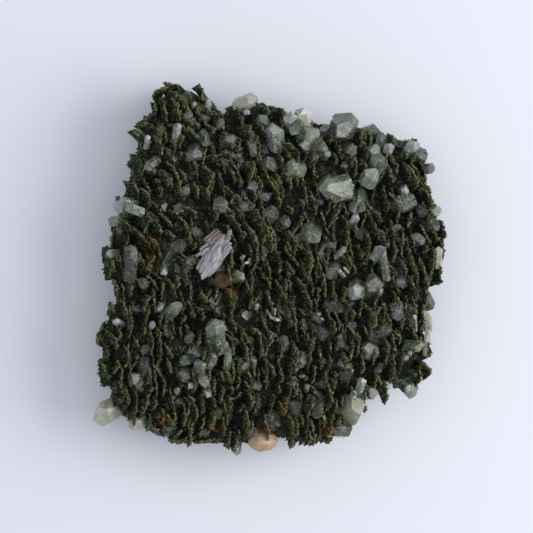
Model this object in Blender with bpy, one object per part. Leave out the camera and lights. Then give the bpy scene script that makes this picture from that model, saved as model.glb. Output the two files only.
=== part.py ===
"""Epidote cluster: a broken plate of leaning epidote blades with quartz crystals grown among them.

The plate lies on its flat broken underside, +Z up, with the origin under its middle. Places on it
are read on a layout grid that is laid over it from above: x runs to the right, y runs down.
"""

import math
import random
from collections import namedtuple

import bmesh
import bpy
from mathutils import Matrix, Vector, noise

# Driving dimensions, in metres
PLATE_WIDTH = 0.100
MATRIX_TOP = 0.0215
RIM_DROP = 0.0045
RIM_BAND = 0.012
UNDERSIDE_INSET = 0.0058
SIDE_ROUGHNESS = 0.0030
BLADE_LENGTH = 0.0096
BLADE_HEIGHT = 0.0086
BLADE_THICKNESS = 0.0019
BLADE_BURIED = 0.0030
BLADE_STEP_ACROSS = 0.0057
BLADE_STEP_ALONG = 0.0098
MIN_BLADE_LENGTH = 0.0030
SIDE_BLADE_LENGTH = 0.0086
SIDE_BLADE_STOUTNESS = 1.4
SIDE_BLADE_DEPTH = (0.0036, 0.0048)
SIDE_LEVELS = (0.0062, 0.0125)
SIDE_STEP = 5

# Shares and angles: a blade's crest against its foot, a crystal's pointed end against its radius,
# and the leans in degrees
CREST_LENGTH = 0.66
CREST_THICKNESS = 0.42
FOOT_THICKNESS = 1.15
TIP_SHARE = 0.85
CRYSTAL_FOOT = 1.04
SIDE_LEAN = 14.0
LEAST_LEAN = 16.0
UPRIGHT_STRIKE = 92.0

# The matrix: the rings of its top as shares of the way out, then the rings of its side as a share
# of the height and how far each lies inside the outline, and the size of the side's lumps
TOP_RINGS = (0.36, 0.68, 0.94)
SIDE_RINGS = ((0.66, 0.0014), (0.40, 0.0022), (0.18, 0.0032), (0.0, UNDERSIDE_INSET))
LUMPS_PER_METRE = 150.0
LUMP_LIFT = 0.04
LEAST_INSET = 0.0004

# The layout grid: the plate is GRID_SPAN steps wide
GRID_SPAN = 357.0
GRID_CENTRE = (266.5, 268.2)
STEP = PLATE_WIDTH / GRID_SPAN
SEED = 7

# The plate's outline from above, clockwise from its top peak, on the layout grid
OUTLINE = [
    (172, 83), (186, 87), (199, 93), (211, 98), (216, 109), (229, 104), (243, 99), (262, 99),
    (279, 104), (290, 112), (310, 117), (330, 117), (348, 118), (362, 124), (385, 129),
    (400, 137), (413, 139), (425, 143), (430, 158), (430, 175), (432, 195), (439, 213),
    (443, 230), (441, 250), (438, 272), (432, 294), (427, 318), (427, 340), (427, 362),
    (420, 377), (408, 386), (393, 384), (382, 393), (369, 402), (364, 415), (350, 427),
    (338, 438), (318, 445), (298, 447), (280, 444), (262, 450), (246, 450), (228, 447),
    (208, 444), (188, 445), (168, 442), (152, 432), (134, 428), (116, 420), (104, 410),
    (107, 396), (103, 375), (98, 350), (103, 326), (111, 300), (111, 280), (107, 258),
    (106, 232), (112, 210), (120, 186), (129, 160), (135, 136), (144, 115), (155, 97),
    (162, 87),
]

# The blades' strike in degrees, clockwise from +X as seen from above, at places on the grid
STRIKES = [
    (165, 130, 57), (150, 200, 62), (215, 140, 57), (230, 200, 64), (265, 130, 68),
    (330, 150, 78), (400, 180, 84), (300, 230, 82), (350, 300, 86), (420, 330, 84),
    (300, 400, 88), (230, 300, 82), (130, 300, 84), (140, 400, 90), (178, 412, 100),
]

# Swells and pits of the matrix: place on the grid, radius and height in millimetres
Swell = namedtuple("Swell", "x y radius height")
SWELLS = [
    Swell(205, 352, 9.5, 6.0),
    Swell(165, 112, 9.0, 2.0),
    Swell(150, 255, 9.0, 1.2),
    Swell(330, 150, 11.0, 1.4),
    Swell(220, 290, 6.0, 1.6),
    Swell(300, 260, 13.0, -1.4),
    Swell(268, 268, 5.5, -3.2),
    Swell(177, 348, 3.2, -7.0),
    Swell(211, 226, 2.6, -4.5),
    Swell(393, 283, 3.2, -4.5),
    Swell(341, 411, 3.0, -4.0),
    Swell(132, 352, 4.0, -3.0),
    Swell(395, 392, 3.0, -4.0),
]

# Quartz crystals: the middle on the grid, then in millimetres the radius, the whole length and
# the height of the highest point over the matrix, then the lean and its heading in degrees
Crystal = namedtuple("Crystal", "x y radius length rise lean heading")
CRYSTALS = [
    # top edge
    Crystal(188, 97, 2.7, 7.5, 7.0, 28, 50),
    Crystal(208, 104, 1.4, 5.0, 6.0, 25, 100),
    Crystal(248, 101, 2.4, 8.0, 6.0, 62, 20),
    Crystal(204, 118, 1.6, 6.0, 5.0, 20, 30),
    Crystal(275, 134, 2.4, 9.5, 7.2, 52, 95),
    Crystal(288, 117, 1.8, 6.0, 6.0, 20, 100),
    Crystal(304, 121, 2.2, 7.0, 6.0, 25, 60),
    Crystal(313, 133, 2.2, 7.5, 6.4, 35, 20),
    Crystal(304, 146, 1.7, 6.0, 5.0, 15, 200),
    Crystal(341, 132, 4.2, 10.0, 7.2, 20, 250),
    Crystal(388, 150, 1.6, 6.5, 5.8, 20, 60),
    Crystal(415, 144, 2.0, 7.0, 6.0, 35, 60),
    Crystal(424, 154, 1.9, 7.0, 5.5, 40, 10),
    Crystal(429, 168, 1.4, 6.0, 5.0, 40, 0),
    # upper left
    Crystal(177, 131, 1.3, 6.5, 6.0, 50, 80),
    Crystal(158, 140, 2.0, 6.0, 3.6, 10, 140),
    Crystal(195, 154, 2.4, 8.0, 6.6, 18, 260),
    Crystal(193, 173, 2.0, 6.0, 3.6, 10, 0),
    Crystal(160, 206, 2.2, 6.0, 3.4, 10, 180),
    Crystal(120, 206, 2.6, 8.5, 6.0, 55, 170),
    Crystal(135, 210, 2.2, 8.0, 6.2, 55, -20),
    Crystal(114, 221, 1.7, 6.0, 5.2, 40, 190),
    Crystal(220, 205, 2.3, 8.0, 6.4, 20, 270),
    Crystal(236, 158, 1.9, 6.0, 4.0, 10, 90),
    Crystal(244, 205, 1.8, 6.0, 4.6, 20, 30),
    Crystal(188, 268, 1.6, 6.0, 5.4, 10, 240),
    Crystal(130, 260, 2.9, 11.5, 5.8, 62, 85),
    Crystal(164, 258, 4.9, 10.0, 6.0, 12, 80),
    # centre and right
    Crystal(269, 164, 1.9, 7.0, 5.6, 20, 150),
    Crystal(292, 167, 2.5, 8.0, 6.2, 8, 0),
    Crystal(331, 187, 4.1, 10.0, 6.8, 30, 190),
    Crystal(371, 175, 1.9, 7.0, 6.6, 25, 80),
    Crystal(379, 163, 2.1, 7.0, 6.2, 25, 40),
    Crystal(404, 191, 1.2, 6.5, 6.4, 30, 80),
    Crystal(409, 207, 2.6, 8.0, 5.8, 35, 0),
    Crystal(421, 211, 1.9, 7.0, 5.4, 20, 330),
    Crystal(436, 211, 1.4, 6.0, 5.4, 45, 10),
    Crystal(357, 207, 2.1, 7.0, 5.6, 15, 100),
    Crystal(271, 214, 2.4, 7.0, 5.4, 15, 60),
    Crystal(317, 233, 2.7, 7.0, 4.6, 8, 0),
    Crystal(418, 240, 2.0, 7.0, 5.6, 25, 20),
    Crystal(384, 262, 1.7, 10.5, 7.4, 60, 100),
    Crystal(356, 291, 2.6, 8.0, 7.2, 22, 260),
    Crystal(373, 284, 3.0, 9.0, 6.6, 40, 60),
    Crystal(403, 281, 2.2, 7.0, 5.2, 15, 30),
    Crystal(397, 311, 2.8, 8.0, 6.4, 14, 10),
    Crystal(331, 306, 2.3, 8.0, 5.4, 25, 90),
    Crystal(350, 325, 2.1, 7.0, 5.0, 25, 100),
    Crystal(322, 333, 2.8, 7.0, 4.8, 12, 60),
    Crystal(283, 343, 2.3, 7.0, 4.6, 10, 0),
    # lower right
    Crystal(370, 352, 2.5, 7.5, 5.4, 15, 300),
    Crystal(379, 368, 1.7, 6.0, 5.0, 15, 300),
    Crystal(415, 345, 1.9, 7.0, 5.6, 40, 0),
    Crystal(428, 341, 1.3, 8.5, 5.2, 62, 85),
    Crystal(294, 383, 1.5, 6.0, 5.6, 20, 120),
    Crystal(361, 385, 1.2, 7.0, 6.4, 45, 75),
    Crystal(372, 393, 1.7, 6.5, 5.4, 25, 320),
    Crystal(355, 415, 4.1, 11.0, 6.4, 38, -50),
    # lower left
    Crystal(144, 284, 1.6, 6.0, 5.0, 15, 90),
    Crystal(137, 310, 1.7, 6.0, 4.4, 10, 90),
    Crystal(173, 311, 1.7, 8.5, 6.2, 58, 42),
    Crystal(146, 350, 1.9, 6.5, 5.0, 25, 0),
    Crystal(134, 379, 1.9, 7.0, 5.6, 20, 120),
    Crystal(216, 333, 2.9, 11.5, 6.6, 48, 95),
    Crystal(191, 338, 1.8, 6.5, 5.0, 20, 150),
    Crystal(200, 367, 1.6, 7.5, 5.8, 50, 80),
    Crystal(184, 375, 2.1, 7.5, 5.6, 30, 260),
    Crystal(228, 357, 1.5, 9.5, 5.2, 62, 85),
    Crystal(222, 281, 2.2, 6.5, 6.0, 12, 300),
    Crystal(243, 316, 2.2, 6.0, 4.6, 15, 180),
    Crystal(103, 413, 2.7, 9.5, 0.5, 62, 215),
    Crystal(138, 423, 2.5, 8.0, 4.6, 40, 250),
    Crystal(237, 449, 1.5, 6.0, 2.4, 50, 270),
]

# Bladed crystal: its two ends on the grid, then its leaves' sizes in metres
PEARLY_START = (228, 233)
PEARLY_END = (199, 281)
PEARLY_LEAVES = 4
PEARLY_WIDTH = 0.0046
PEARLY_LEAF = 0.0013
PEARLY_DEPTH = 0.0085
PEARLY_RISE = 0.0066
PEARLY_STEP_DOWN = 0.0006
PEARLY_FAN = 0.16

# Stone at the lower edge: place on the grid, half sizes and height in metres
STONE_PLACE = (263, 445)
STONE_SIZE = (0.0042, 0.0034, 0.0040)
STONE_LEVEL = 0.0145
STONE_SWELL = 0.22


def clear_scene():
    for old in list(bpy.data.objects):
        bpy.data.objects.remove(old, do_unlink=True)


def place(x, y, z=0.0):
    """A point of the layout grid in metres, at height z."""
    return Vector(((x - GRID_CENTRE[0]) * STEP, (GRID_CENTRE[1] - y) * STEP, z))


RIM = [place(x, y) for x, y in OUTLINE]


def is_inside(point):
    """Whether a point lies inside the outline, seen from above."""
    inside = False
    for here, after in zip(RIM, RIM[1:] + RIM[:1]):
        if (here.y > point.y) != (after.y > point.y):
            crossing = here.x + (point.y - here.y) * (after.x - here.x) / (after.y - here.y)
            if point.x < crossing:
                inside = not inside
    return inside


def rim_distance(point):
    """How far a point is from the outline, seen from above."""
    nearest = math.inf
    flat = Vector((point.x, point.y, 0.0))
    for here, after in zip(RIM, RIM[1:] + RIM[:1]):
        edge = after - here
        share = max(0.0, min(1.0, (flat - here).dot(edge) / edge.length_squared))
        nearest = min(nearest, (flat - here - edge * share).length)
    return nearest


def matrix_height(point):
    """The height of the matrix surface under the blades."""
    fall = max(0.0, 1.0 - rim_distance(point) / RIM_BAND)
    height = MATRIX_TOP - RIM_DROP * fall * fall
    for swell in SWELLS:
        middle = place(swell.x, swell.y)
        reach = Vector((point.x - middle.x, point.y - middle.y)).length / (swell.radius * 0.001)
        height += swell.height * 0.001 * math.exp(-reach * reach)
    return height + 0.0007 * noise.noise(Vector((point.x, point.y, 0.0)) * 140.0)


def strike_at(point):
    """The blades' strike at a point, in radians, from the nearest places that name one."""
    total = 0.0
    weights = 0.0
    for x, y, degrees in STRIKES:
        weight = 1.0 / ((point - place(x, y)).xy.length + 0.004) ** 3
        total += degrees * weight
        weights += weight
    return math.radians(total / weights)


def add_object(name, bm, collection):
    mesh = bpy.data.meshes.new(name)
    bm.to_mesh(mesh)
    bm.free()
    obj = bpy.data.objects.new(name, mesh)
    collection.objects.link(obj)
    return obj


def make_matrix(collection):
    """The broken plate under the blades: rings from the middle of its top to its underside."""
    bm = bmesh.new()
    middle = sum(RIM, Vector()) / len(RIM)
    rings = []
    for share in TOP_RINGS:
        ring = []
        for corner in RIM:
            point = middle.lerp(corner, share)
            ring.append(bm.verts.new((point.x, point.y, matrix_height(point))))
        rings.append(ring)
    for share, inset in SIDE_RINGS:
        ring = []
        for corner in RIM:
            inward = (middle - corner).normalized()
            rough = noise.noise(Vector((corner.x, corner.y, share * LUMP_LIFT)) * LUMPS_PER_METRE)
            point = corner + inward * max(LEAST_INSET, inset + SIDE_ROUGHNESS * rough)
            ring.append(bm.verts.new((point.x, point.y, MATRIX_TOP * share)))
        rings.append(ring)
    top = bm.verts.new((middle.x, middle.y, matrix_height(middle)))
    count = len(RIM)
    for number in range(count):
        after = (number + 1) % count
        bm.faces.new((top, rings[0][number], rings[0][after]))
        for upper, lower in zip(rings, rings[1:]):
            bm.faces.new((upper[number], lower[number], lower[after], upper[after]))
    bm.faces.new(rings[-1])
    bmesh.ops.recalc_face_normals(bm, faces=bm.faces)
    return add_object("epidote_cluster", bm, collection)


def frame_of(along, upward, at):
    """The matrix that carries local X along a direction and local Z near another."""
    side = upward.cross(along).normalized()
    top = along.cross(side).normalized()
    turn = Matrix((along.normalized(), side, top)).transposed()
    return Matrix.Translation(at) @ turn.to_4x4()


Blade = namedtuple("Blade", "strike lean length height thickness slope shift")


def blade_axes(blade):
    """The directions along a blade's strike and up its leaning face."""
    along = Vector((math.cos(blade.strike), -math.sin(blade.strike), 0.0))
    across = Vector((math.sin(blade.strike), math.cos(blade.strike), 0.0))
    return along, across * math.sin(blade.lean) + Vector((0.0, 0.0, math.cos(blade.lean)))


def make_blade(name, foot, blade, collection):
    """One blade: a thin plate on edge that narrows to an uneven crest and leans off its strike."""
    along, upward = blade_axes(blade)
    bm = bmesh.new()
    bmesh.ops.create_cube(bm, size=1.0)
    for vert in bm.verts:
        is_crest = vert.co.z > 0.0
        rise = 1.0 + (blade.slope if vert.co.x > 0.0 else -blade.slope)
        vert.co.x *= blade.length * (CREST_LENGTH if is_crest else 1.0)
        vert.co.x += blade.shift * blade.length if is_crest else 0.0
        vert.co.y *= blade.thickness * (CREST_THICKNESS if is_crest else FOOT_THICKNESS)
        vert.co.z = blade.height * rise if is_crest else 0.0
    bm.transform(frame_of(along, upward, foot))
    return add_object(name, bm, collection)


def make_crystal(name, crystal, collection):
    """A six-sided quartz prism with a pointed end, leaning to its heading."""
    radius, length, rise = (value * 0.001 for value in (crystal.radius, crystal.length, crystal.rise))
    lean = math.radians(crystal.lean)
    heading = math.radians(crystal.heading)
    axis = Vector((math.sin(lean) * math.cos(heading), math.sin(lean) * math.sin(heading), math.cos(lean)))
    middle = place(crystal.x, crystal.y)
    top = matrix_height(middle) + rise
    half_drop = 0.5 * length * math.cos(lean) + 0.5 * radius * math.sin(lean)
    middle.z = top - half_drop
    tip = TIP_SHARE * radius
    bm = bmesh.new()
    foot = radius * CRYSTAL_FOOT
    bmesh.ops.create_cone(
        bm, cap_ends=True, segments=6, radius1=foot, radius2=radius, depth=length - tip
    )
    end = max(bm.faces, key=lambda face: face.calc_center_median().z)
    point = bmesh.ops.poke(bm, faces=[end])["verts"][0]
    point.co.z += tip
    for vert in bm.verts:
        vert.co.z -= 0.5 * tip
    bm.transform(Matrix.Rotation(crystal.x + crystal.y, 4, "Z"))
    side = Vector((0.0, 0.0, 1.0)) if abs(axis.z) < 0.9 else Vector((1.0, 0.0, 0.0))
    across = side.cross(axis).normalized()
    bm.transform(frame_of(across, axis, middle))
    return add_object(name, bm, collection)


def blade_places(rng):
    """Places over the plate on a jittered lattice, every second row set off by half a step."""
    across = int(PLATE_WIDTH / BLADE_STEP_ACROSS) // 2 + 1
    along = int(1.1 * PLATE_WIDTH / BLADE_STEP_ALONG) // 2 + 1
    for column in range(-across, across + 1):
        for row in range(-along, along + 1):
            shift = 0.5 * (column % 2)
            x = (column + rng.uniform(-0.22, 0.22)) * BLADE_STEP_ACROSS
            y = (row + shift + rng.uniform(-0.22, 0.22)) * BLADE_STEP_ALONG
            yield Vector((x, y, 0.0))


def is_taken(point):
    """Whether a crystal stands where a blade would."""
    for crystal in CRYSTALS:
        gap = (place(crystal.x, crystal.y) - point).xy.length
        if gap < crystal.radius * 0.001 * 0.75 + 0.0009:
            return True
    return False


def fitted(point, blade):
    """The blade stood up, and then shortened, until its crest stays over the plate."""
    while blade.length > MIN_BLADE_LENGTH:
        along, upward = blade_axes(blade)
        crest = point + upward * (blade.height - BLADE_BURIED)
        half = along * 0.5 * CREST_LENGTH * blade.length
        if is_inside(crest + half) and is_inside(crest - half):
            return blade
        if blade.lean > 0.1:
            blade = blade._replace(lean=blade.lean * 0.5)
        else:
            blade = blade._replace(length=blade.length * 0.8)
    return None


def make_top_blades(collection, rng):
    for number, point in enumerate(blade_places(rng)):
        wobble = math.radians(rng.uniform(-8.0, 8.0))
        tilt = rng.uniform(-6.0, 6.0)
        blade = Blade(
            strike=strike_at(point) + wobble,
            lean=0.0,
            length=BLADE_LENGTH * rng.uniform(0.7, 1.2),
            height=BLADE_HEIGHT * rng.uniform(0.85, 1.12),
            thickness=BLADE_THICKNESS * rng.uniform(0.8, 1.2),
            slope=rng.uniform(-0.14, 0.14),
            shift=rng.uniform(-0.12, 0.12),
        )
        if not is_inside(point) or is_taken(point):
            continue
        steep = max(LEAST_LEAN, UPRIGHT_STRIKE - math.degrees(blade.strike))
        blade = fitted(point, blade._replace(lean=math.radians(steep + tilt)))
        if blade is None:
            continue
        foot = point - blade_axes(blade)[1] * BLADE_BURIED
        foot.z += matrix_height(point)
        make_blade(f"blade_{number}", foot, blade, collection)


def make_side_blades(collection, rng):
    """Blades that show on the broken sides, in two uneven courses, leaning out a little."""
    middle = sum(RIM, Vector()) / len(RIM)
    for course, level in enumerate(SIDE_LEVELS):
        for number in range(2 * course, len(RIM), SIDE_STEP):
            corner = RIM[number]
            outward = (corner - middle).normalized()
            strike = strike_at(corner) + math.radians(rng.uniform(-8.0, 8.0))
            faces_out = math.sin(strike) * outward.x + math.cos(strike) * outward.y
            blade = Blade(
                strike=strike,
                lean=math.radians(math.copysign(SIDE_LEAN, faces_out)),
                length=SIDE_BLADE_LENGTH * rng.uniform(0.8, 1.15),
                height=BLADE_HEIGHT,
                thickness=BLADE_THICKNESS * SIDE_BLADE_STOUTNESS,
                slope=rng.uniform(-0.15, 0.15),
                shift=0.0,
            )
            foot = corner - outward * rng.uniform(*SIDE_BLADE_DEPTH)
            foot.z = level + rng.uniform(-0.0015, 0.0015)
            make_blade(f"side_{course}_{number}", foot, blade, collection)


def make_pearly(collection):
    """The bladed white crystal: thin leaves fanned side by side."""
    start = place(*PEARLY_START)
    end = place(*PEARLY_END)
    middle = (start + end) * 0.5
    along = (end - start).normalized()
    across = Vector((0.0, 0.0, 1.0)).cross(along)
    top = matrix_height(middle) + PEARLY_RISE
    length = (end - start).length
    for leaf in range(PEARLY_LEAVES):
        offset = (leaf - 0.5 * (PEARLY_LEAVES - 1)) * PEARLY_WIDTH / PEARLY_LEAVES
        bm = bmesh.new()
        bmesh.ops.create_cube(bm, size=1.0)
        for vert in bm.verts:
            is_crest = vert.co.z > 0.0
            vert.co.x *= length * (0.86 if is_crest else 1.0) * (1.0 - 0.07 * leaf)
            vert.co.y *= PEARLY_LEAF * (0.7 if is_crest else 1.25)
            vert.co.z = 0.0 if is_crest else -PEARLY_DEPTH
        fan = Vector((0.0, 0.0, 1.0)) + across * PEARLY_FAN * (leaf - 0.5 * (PEARLY_LEAVES - 1))
        at = middle + across * offset
        at.z = top - PEARLY_STEP_DOWN * leaf
        bm.transform(frame_of(along, fan.normalized(), at))
        add_object(f"leaf_{leaf}", bm, collection)


def make_stone(collection):
    bm = bmesh.new()
    bmesh.ops.create_icosphere(bm, subdivisions=2, radius=1.0)
    for vert in bm.verts:
        swell = 1.0 + STONE_SWELL * noise.noise(vert.co * 1.7)
        vert.co = Vector([part * swell * size for part, size in zip(vert.co, STONE_SIZE)])
    bm.transform(Matrix.Translation(place(*STONE_PLACE, STONE_LEVEL)))
    return add_object("stone", bm, collection)


def grow_together(body, pieces):
    """Joins the crystals and the matrix in one solid and keeps its outer skin only."""
    boolean = body.modifiers.new("grown_together", "BOOLEAN")
    boolean.operation = "UNION"
    boolean.operand_type = "COLLECTION"
    boolean.collection = pieces
    boolean.solver = "EXACT"
    boolean.use_self = True
    bpy.context.view_layer.update()
    evaluated = body.evaluated_get(bpy.context.evaluated_depsgraph_get())
    mesh = bpy.data.meshes.new_from_object(evaluated)
    body.modifiers.clear()
    body.data = mesh
    for piece in list(pieces.objects):
        bpy.data.objects.remove(piece, do_unlink=True)
    bm = bmesh.new()
    bm.from_mesh(mesh)
    keep_outer_skin(bm)
    bmesh.ops.triangulate(bm, faces=bm.faces)
    bm.to_mesh(mesh)
    bm.free()


def keep_outer_skin(bm):
    """Deletes every closed shell but the largest, which leaves no sealed hollow inside."""
    left = set(bm.verts)
    shells = []
    while left:
        shell = set()
        front = [left.pop()]
        while front:
            vert = front.pop()
            shell.add(vert)
            for edge in vert.link_edges:
                other = edge.other_vert(vert)
                if other in left:
                    left.discard(other)
                    front.append(other)
        shells.append(shell)
    shells.sort(key=len)
    for shell in shells[:-1]:
        bmesh.ops.delete(bm, geom=list(shell), context="VERTS")


def epidote_material():
    material = bpy.data.materials.new("epidote")
    material.use_nodes = True
    shader = material.node_tree.nodes["Principled BSDF"]
    shader.inputs["Base Color"].default_value = (0.060, 0.085, 0.035, 1.0)
    shader.inputs["Roughness"].default_value = 0.45
    shader.inputs["Metallic"].default_value = 0.0
    return material


def main():
    clear_scene()
    cluster = bpy.data.collections.new("epidote_cluster_parts")
    grown = bpy.data.collections.new("crystals_to_join")
    bpy.context.scene.collection.children.link(cluster)
    bpy.context.scene.collection.children.link(grown)
    rng = random.Random(SEED)
    body = make_matrix(cluster)
    make_top_blades(grown, rng)
    make_side_blades(grown, rng)
    for number, crystal in enumerate(CRYSTALS):
        make_crystal(f"crystal_{number}", crystal, grown)
    make_pearly(grown)
    make_stone(grown)
    grow_together(body, grown)
    body.data.materials.clear()
    body.data.materials.append(epidote_material())


main()
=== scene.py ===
import math
import random
from collections import namedtuple
from itertools import combinations

import bmesh
import bpy
import numpy as np
from mathutils import Matrix, Vector, noise


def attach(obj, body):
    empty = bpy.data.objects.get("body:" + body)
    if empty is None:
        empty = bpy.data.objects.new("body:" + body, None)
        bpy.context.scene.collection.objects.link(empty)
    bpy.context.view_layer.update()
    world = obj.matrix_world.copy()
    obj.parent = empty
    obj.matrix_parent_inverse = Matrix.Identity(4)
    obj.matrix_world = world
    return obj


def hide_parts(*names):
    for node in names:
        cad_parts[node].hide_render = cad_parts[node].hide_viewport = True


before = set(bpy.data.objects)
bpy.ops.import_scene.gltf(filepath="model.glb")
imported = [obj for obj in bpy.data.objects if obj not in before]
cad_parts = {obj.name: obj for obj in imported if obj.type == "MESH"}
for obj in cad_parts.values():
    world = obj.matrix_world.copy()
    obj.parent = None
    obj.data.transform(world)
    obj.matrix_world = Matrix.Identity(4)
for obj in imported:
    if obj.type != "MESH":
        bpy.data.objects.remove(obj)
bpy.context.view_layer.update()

# The looks of the epidote cluster: a crust of leaning blades under a sugary druse of small epidote
# crystals, with quartz, a bladed pearly crystal, an amber grain and a rusty stone grown into it.

NODE = "epidote_cluster"

# Driving dimensions in metres, the same as the solids'
PLATE_WIDTH = 0.100
MATRIX_TOP = 0.0215
RIM_DROP = 0.0045
RIM_BAND = 0.012
UNDERSIDE_INSET = 0.0058
SIDE_ROUGHNESS = 0.0030
BLADE_LENGTH = 0.0096
BLADE_HEIGHT = 0.0086
BLADE_THICKNESS = 0.0019
BLADE_BURIED = 0.0030
BLADE_STEP_ACROSS = 0.0057
BLADE_STEP_ALONG = 0.0098
MIN_BLADE_LENGTH = 0.0030
SIDE_BLADE_LENGTH = 0.0086
SIDE_BLADE_STOUTNESS = 1.4
SIDE_BLADE_DEPTH = (0.0036, 0.0048)
SIDE_LEVELS = (0.0062, 0.0125)
SIDE_STEP = 5
CREST_LENGTH = 0.66
CREST_THICKNESS = 0.42
FOOT_THICKNESS = 1.15
SIDE_LEAN = 14.0
LEAST_LEAN = 16.0
UPRIGHT_STRIKE = 92.0
TOP_RINGS = (0.36, 0.68, 0.94)
SIDE_RINGS = ((0.66, 0.0014), (0.40, 0.0022), (0.18, 0.0032), (0.0, UNDERSIDE_INSET))
LUMPS_PER_METRE = 150.0
LUMP_LIFT = 0.04
LEAST_INSET = 0.0004
SEED = 7

# The layout grid over the plate, which is also the photo's pixel grid
GRID_SPAN = 357.0
GRID_CENTRE = (266.5, 268.2)
PHOTO_CENTRE = (266.5, 266.5)
PHOTO_SIDE = 533.0
STEP = PLATE_WIDTH / GRID_SPAN

# The shape of every plate
PLATE_THINNESS = 0.42
PLATE_COLUMNS = 13
PLATE_ROWS = 6
STRIKE_WAVE = 0.62
WAVES_PER_METRE = 190.0
LEAN_WAVE = 0.22
CREST_FALL = 0.34
CREST_SWING = 0.14
CREST_JAG = 0.075
CORE_HEIGHT = 0.62
VOXEL = 0.0008
ROUGHNESS = 0.00025

# Grains of the druse, in metres
GRAIN = 0.00072
PLATE_GRAINS = 86000
CREST_GRAINS = 17000
MATRIX_GRAINS = 22000
LOWEST_GRAIN = 0.30
CREST_ROW = 0.985
CREST_FINENESS = 0.42
HIDDEN_GRAINS = 0.35
CREST_REACH = 0.00042
DRUSE_LEVEL = 0.012
SIDE_GRAINS = 0.6
UNDERSIDE_BAND = 0.0012
OPEN_EDGE = 0.0035
ROCK_LEVEL = 0.009
ROCK_BAND = 0.007
RUST_LEVEL = 0.008
PALER = 0.3
DUST_GRAINS = 4600
DUST_SIZE = 0.00050
GRAINS_PER_METRE = 1500.0
GRAIN_BUMP = 0.00035
CELL_MARGIN = 0.05
HALF_CELL = 0.46

# Quartz
BURIED_CRYSTALS = 95
EDGE_WEAR = 0.03
QUARTZ_IOR = 1.544
LEAST_FACET = 0.12

# Colours
# Painted shade near black for the gaps between blades; also the colour of the random dark grains
GAP_SHADE_AND_DARK_GRAIN = (0.011, 0.015, 0.008)
DARK_GREEN = (0.018, 0.025, 0.010)
MID_GREEN = (0.052, 0.063, 0.028)
OLIVE = (0.250, 0.280, 0.135)
# Pale crest colour: partly the paler druse on the crests, partly painted highlight where the light catches
# them
CREST_OLIVE_AND_HIGHLIGHT = (0.325, 0.355, 0.160)
RUST_ORANGE = (0.42, 0.205, 0.075)
ROCK_GREY = (0.105, 0.110, 0.085)
ROCK_GREEN = (0.045, 0.058, 0.030)
QUARTZ_FOOT = (0.10, 0.135, 0.06)
PALE_FOOT = (0.30, 0.33, 0.19)
QUARTZ_CRACK = (0.75, 0.76, 0.74)
FLOOR_COLOUR = (0.73, 0.74, 0.80)
FLOOR_COLOUR_2 = (0.75, 0.76, 0.82)
SKY_COLOUR = (0.90, 0.93, 1.0)

# The kinds of quartz: the colours between which its facets are painted dark and bright as painted facet
# shading, and what passes through it
Kind = namedtuple("Kind", "name look slot dark bright transmission absorbed density roughness")
QUARTZ_KINDS = (
    Kind("clear_quartz", "c", "clear_quartz", (0.11, 0.125, 0.10), (0.39, 0.405, 0.37), 0.60,
         (0.84, 0.88, 0.82), 60.0, 0.10),
    Kind("milky_quartz", "m", "milky_quartz", (0.29, 0.305, 0.29), (0.53, 0.54, 0.53), 0.40,
         (0.90, 0.92, 0.90), 20.0, 0.10),
    Kind("green_quartz", "g", "green_quartz", (0.20, 0.24, 0.13), (0.55, 0.57, 0.44), 0.50,
         (0.74, 0.82, 0.56), 80.0, 0.10),
    Kind("pale_quartz", "p", "green_quartz", (0.37, 0.385, 0.29), (0.66, 0.67, 0.55), 0.34,
         (0.88, 0.92, 0.78), 30.0, 0.12),
    Kind("deep_quartz", "d", "clear_quartz", (0.05, 0.062, 0.043), (0.25, 0.275, 0.22), 0.70,
         (0.60, 0.70, 0.55), 120.0, 0.10),
)

# Light from the sky, a large window on the right and a soft lamp overhead, in watts and metres
SKY_STRENGTH = 0.66
LAMP_HEIGHT = 1.5
LAMP_SIZE = 1.4
LAMP_POWER = 3.2
WINDOW_PLACE = (0.68, 0.03, 0.44)
WINDOW_SIZE = 0.62
WINDOW_POWER = 5.5
WINDOW_COLOUR = (1.0, 0.99, 0.97)

# The camera looks straight down from far off; the crests are at about CREST_LEVEL
CAMERA_DISTANCE = 1.0
CREST_LEVEL = 0.026

# The plate's outline from above, clockwise from its top peak, on the layout grid
OUTLINE = [
    (172, 83), (186, 87), (199, 93), (211, 98), (216, 109), (229, 104), (243, 99), (262, 99),
    (279, 104), (290, 112), (310, 117), (330, 117), (348, 118), (362, 124), (385, 129),
    (400, 137), (413, 139), (425, 143), (430, 158), (430, 175), (432, 195), (439, 213),
    (443, 230), (441, 250), (438, 272), (432, 294), (427, 318), (427, 340), (427, 362),
    (420, 377), (408, 386), (393, 384), (382, 393), (369, 402), (364, 415), (350, 427),
    (338, 438), (318, 445), (298, 447), (280, 444), (262, 450), (246, 450), (228, 447),
    (208, 444), (188, 445), (168, 442), (152, 432), (134, 428), (116, 420), (104, 410),
    (107, 396), (103, 375), (98, 350), (103, 326), (111, 300), (111, 280), (107, 258),
    (106, 232), (112, 210), (120, 186), (129, 160), (135, 136), (144, 115), (155, 97),
    (162, 87),
]

# The blades' strike in degrees, clockwise from +X as seen from above, at places on the grid
STRIKES = [
    (165, 130, 57), (150, 200, 62), (215, 140, 57), (230, 200, 64), (265, 130, 68),
    (330, 150, 78), (400, 180, 84), (300, 230, 82), (350, 300, 86), (420, 330, 84),
    (300, 400, 88), (230, 300, 82), (130, 300, 84), (140, 400, 90), (178, 412, 100),
]

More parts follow.
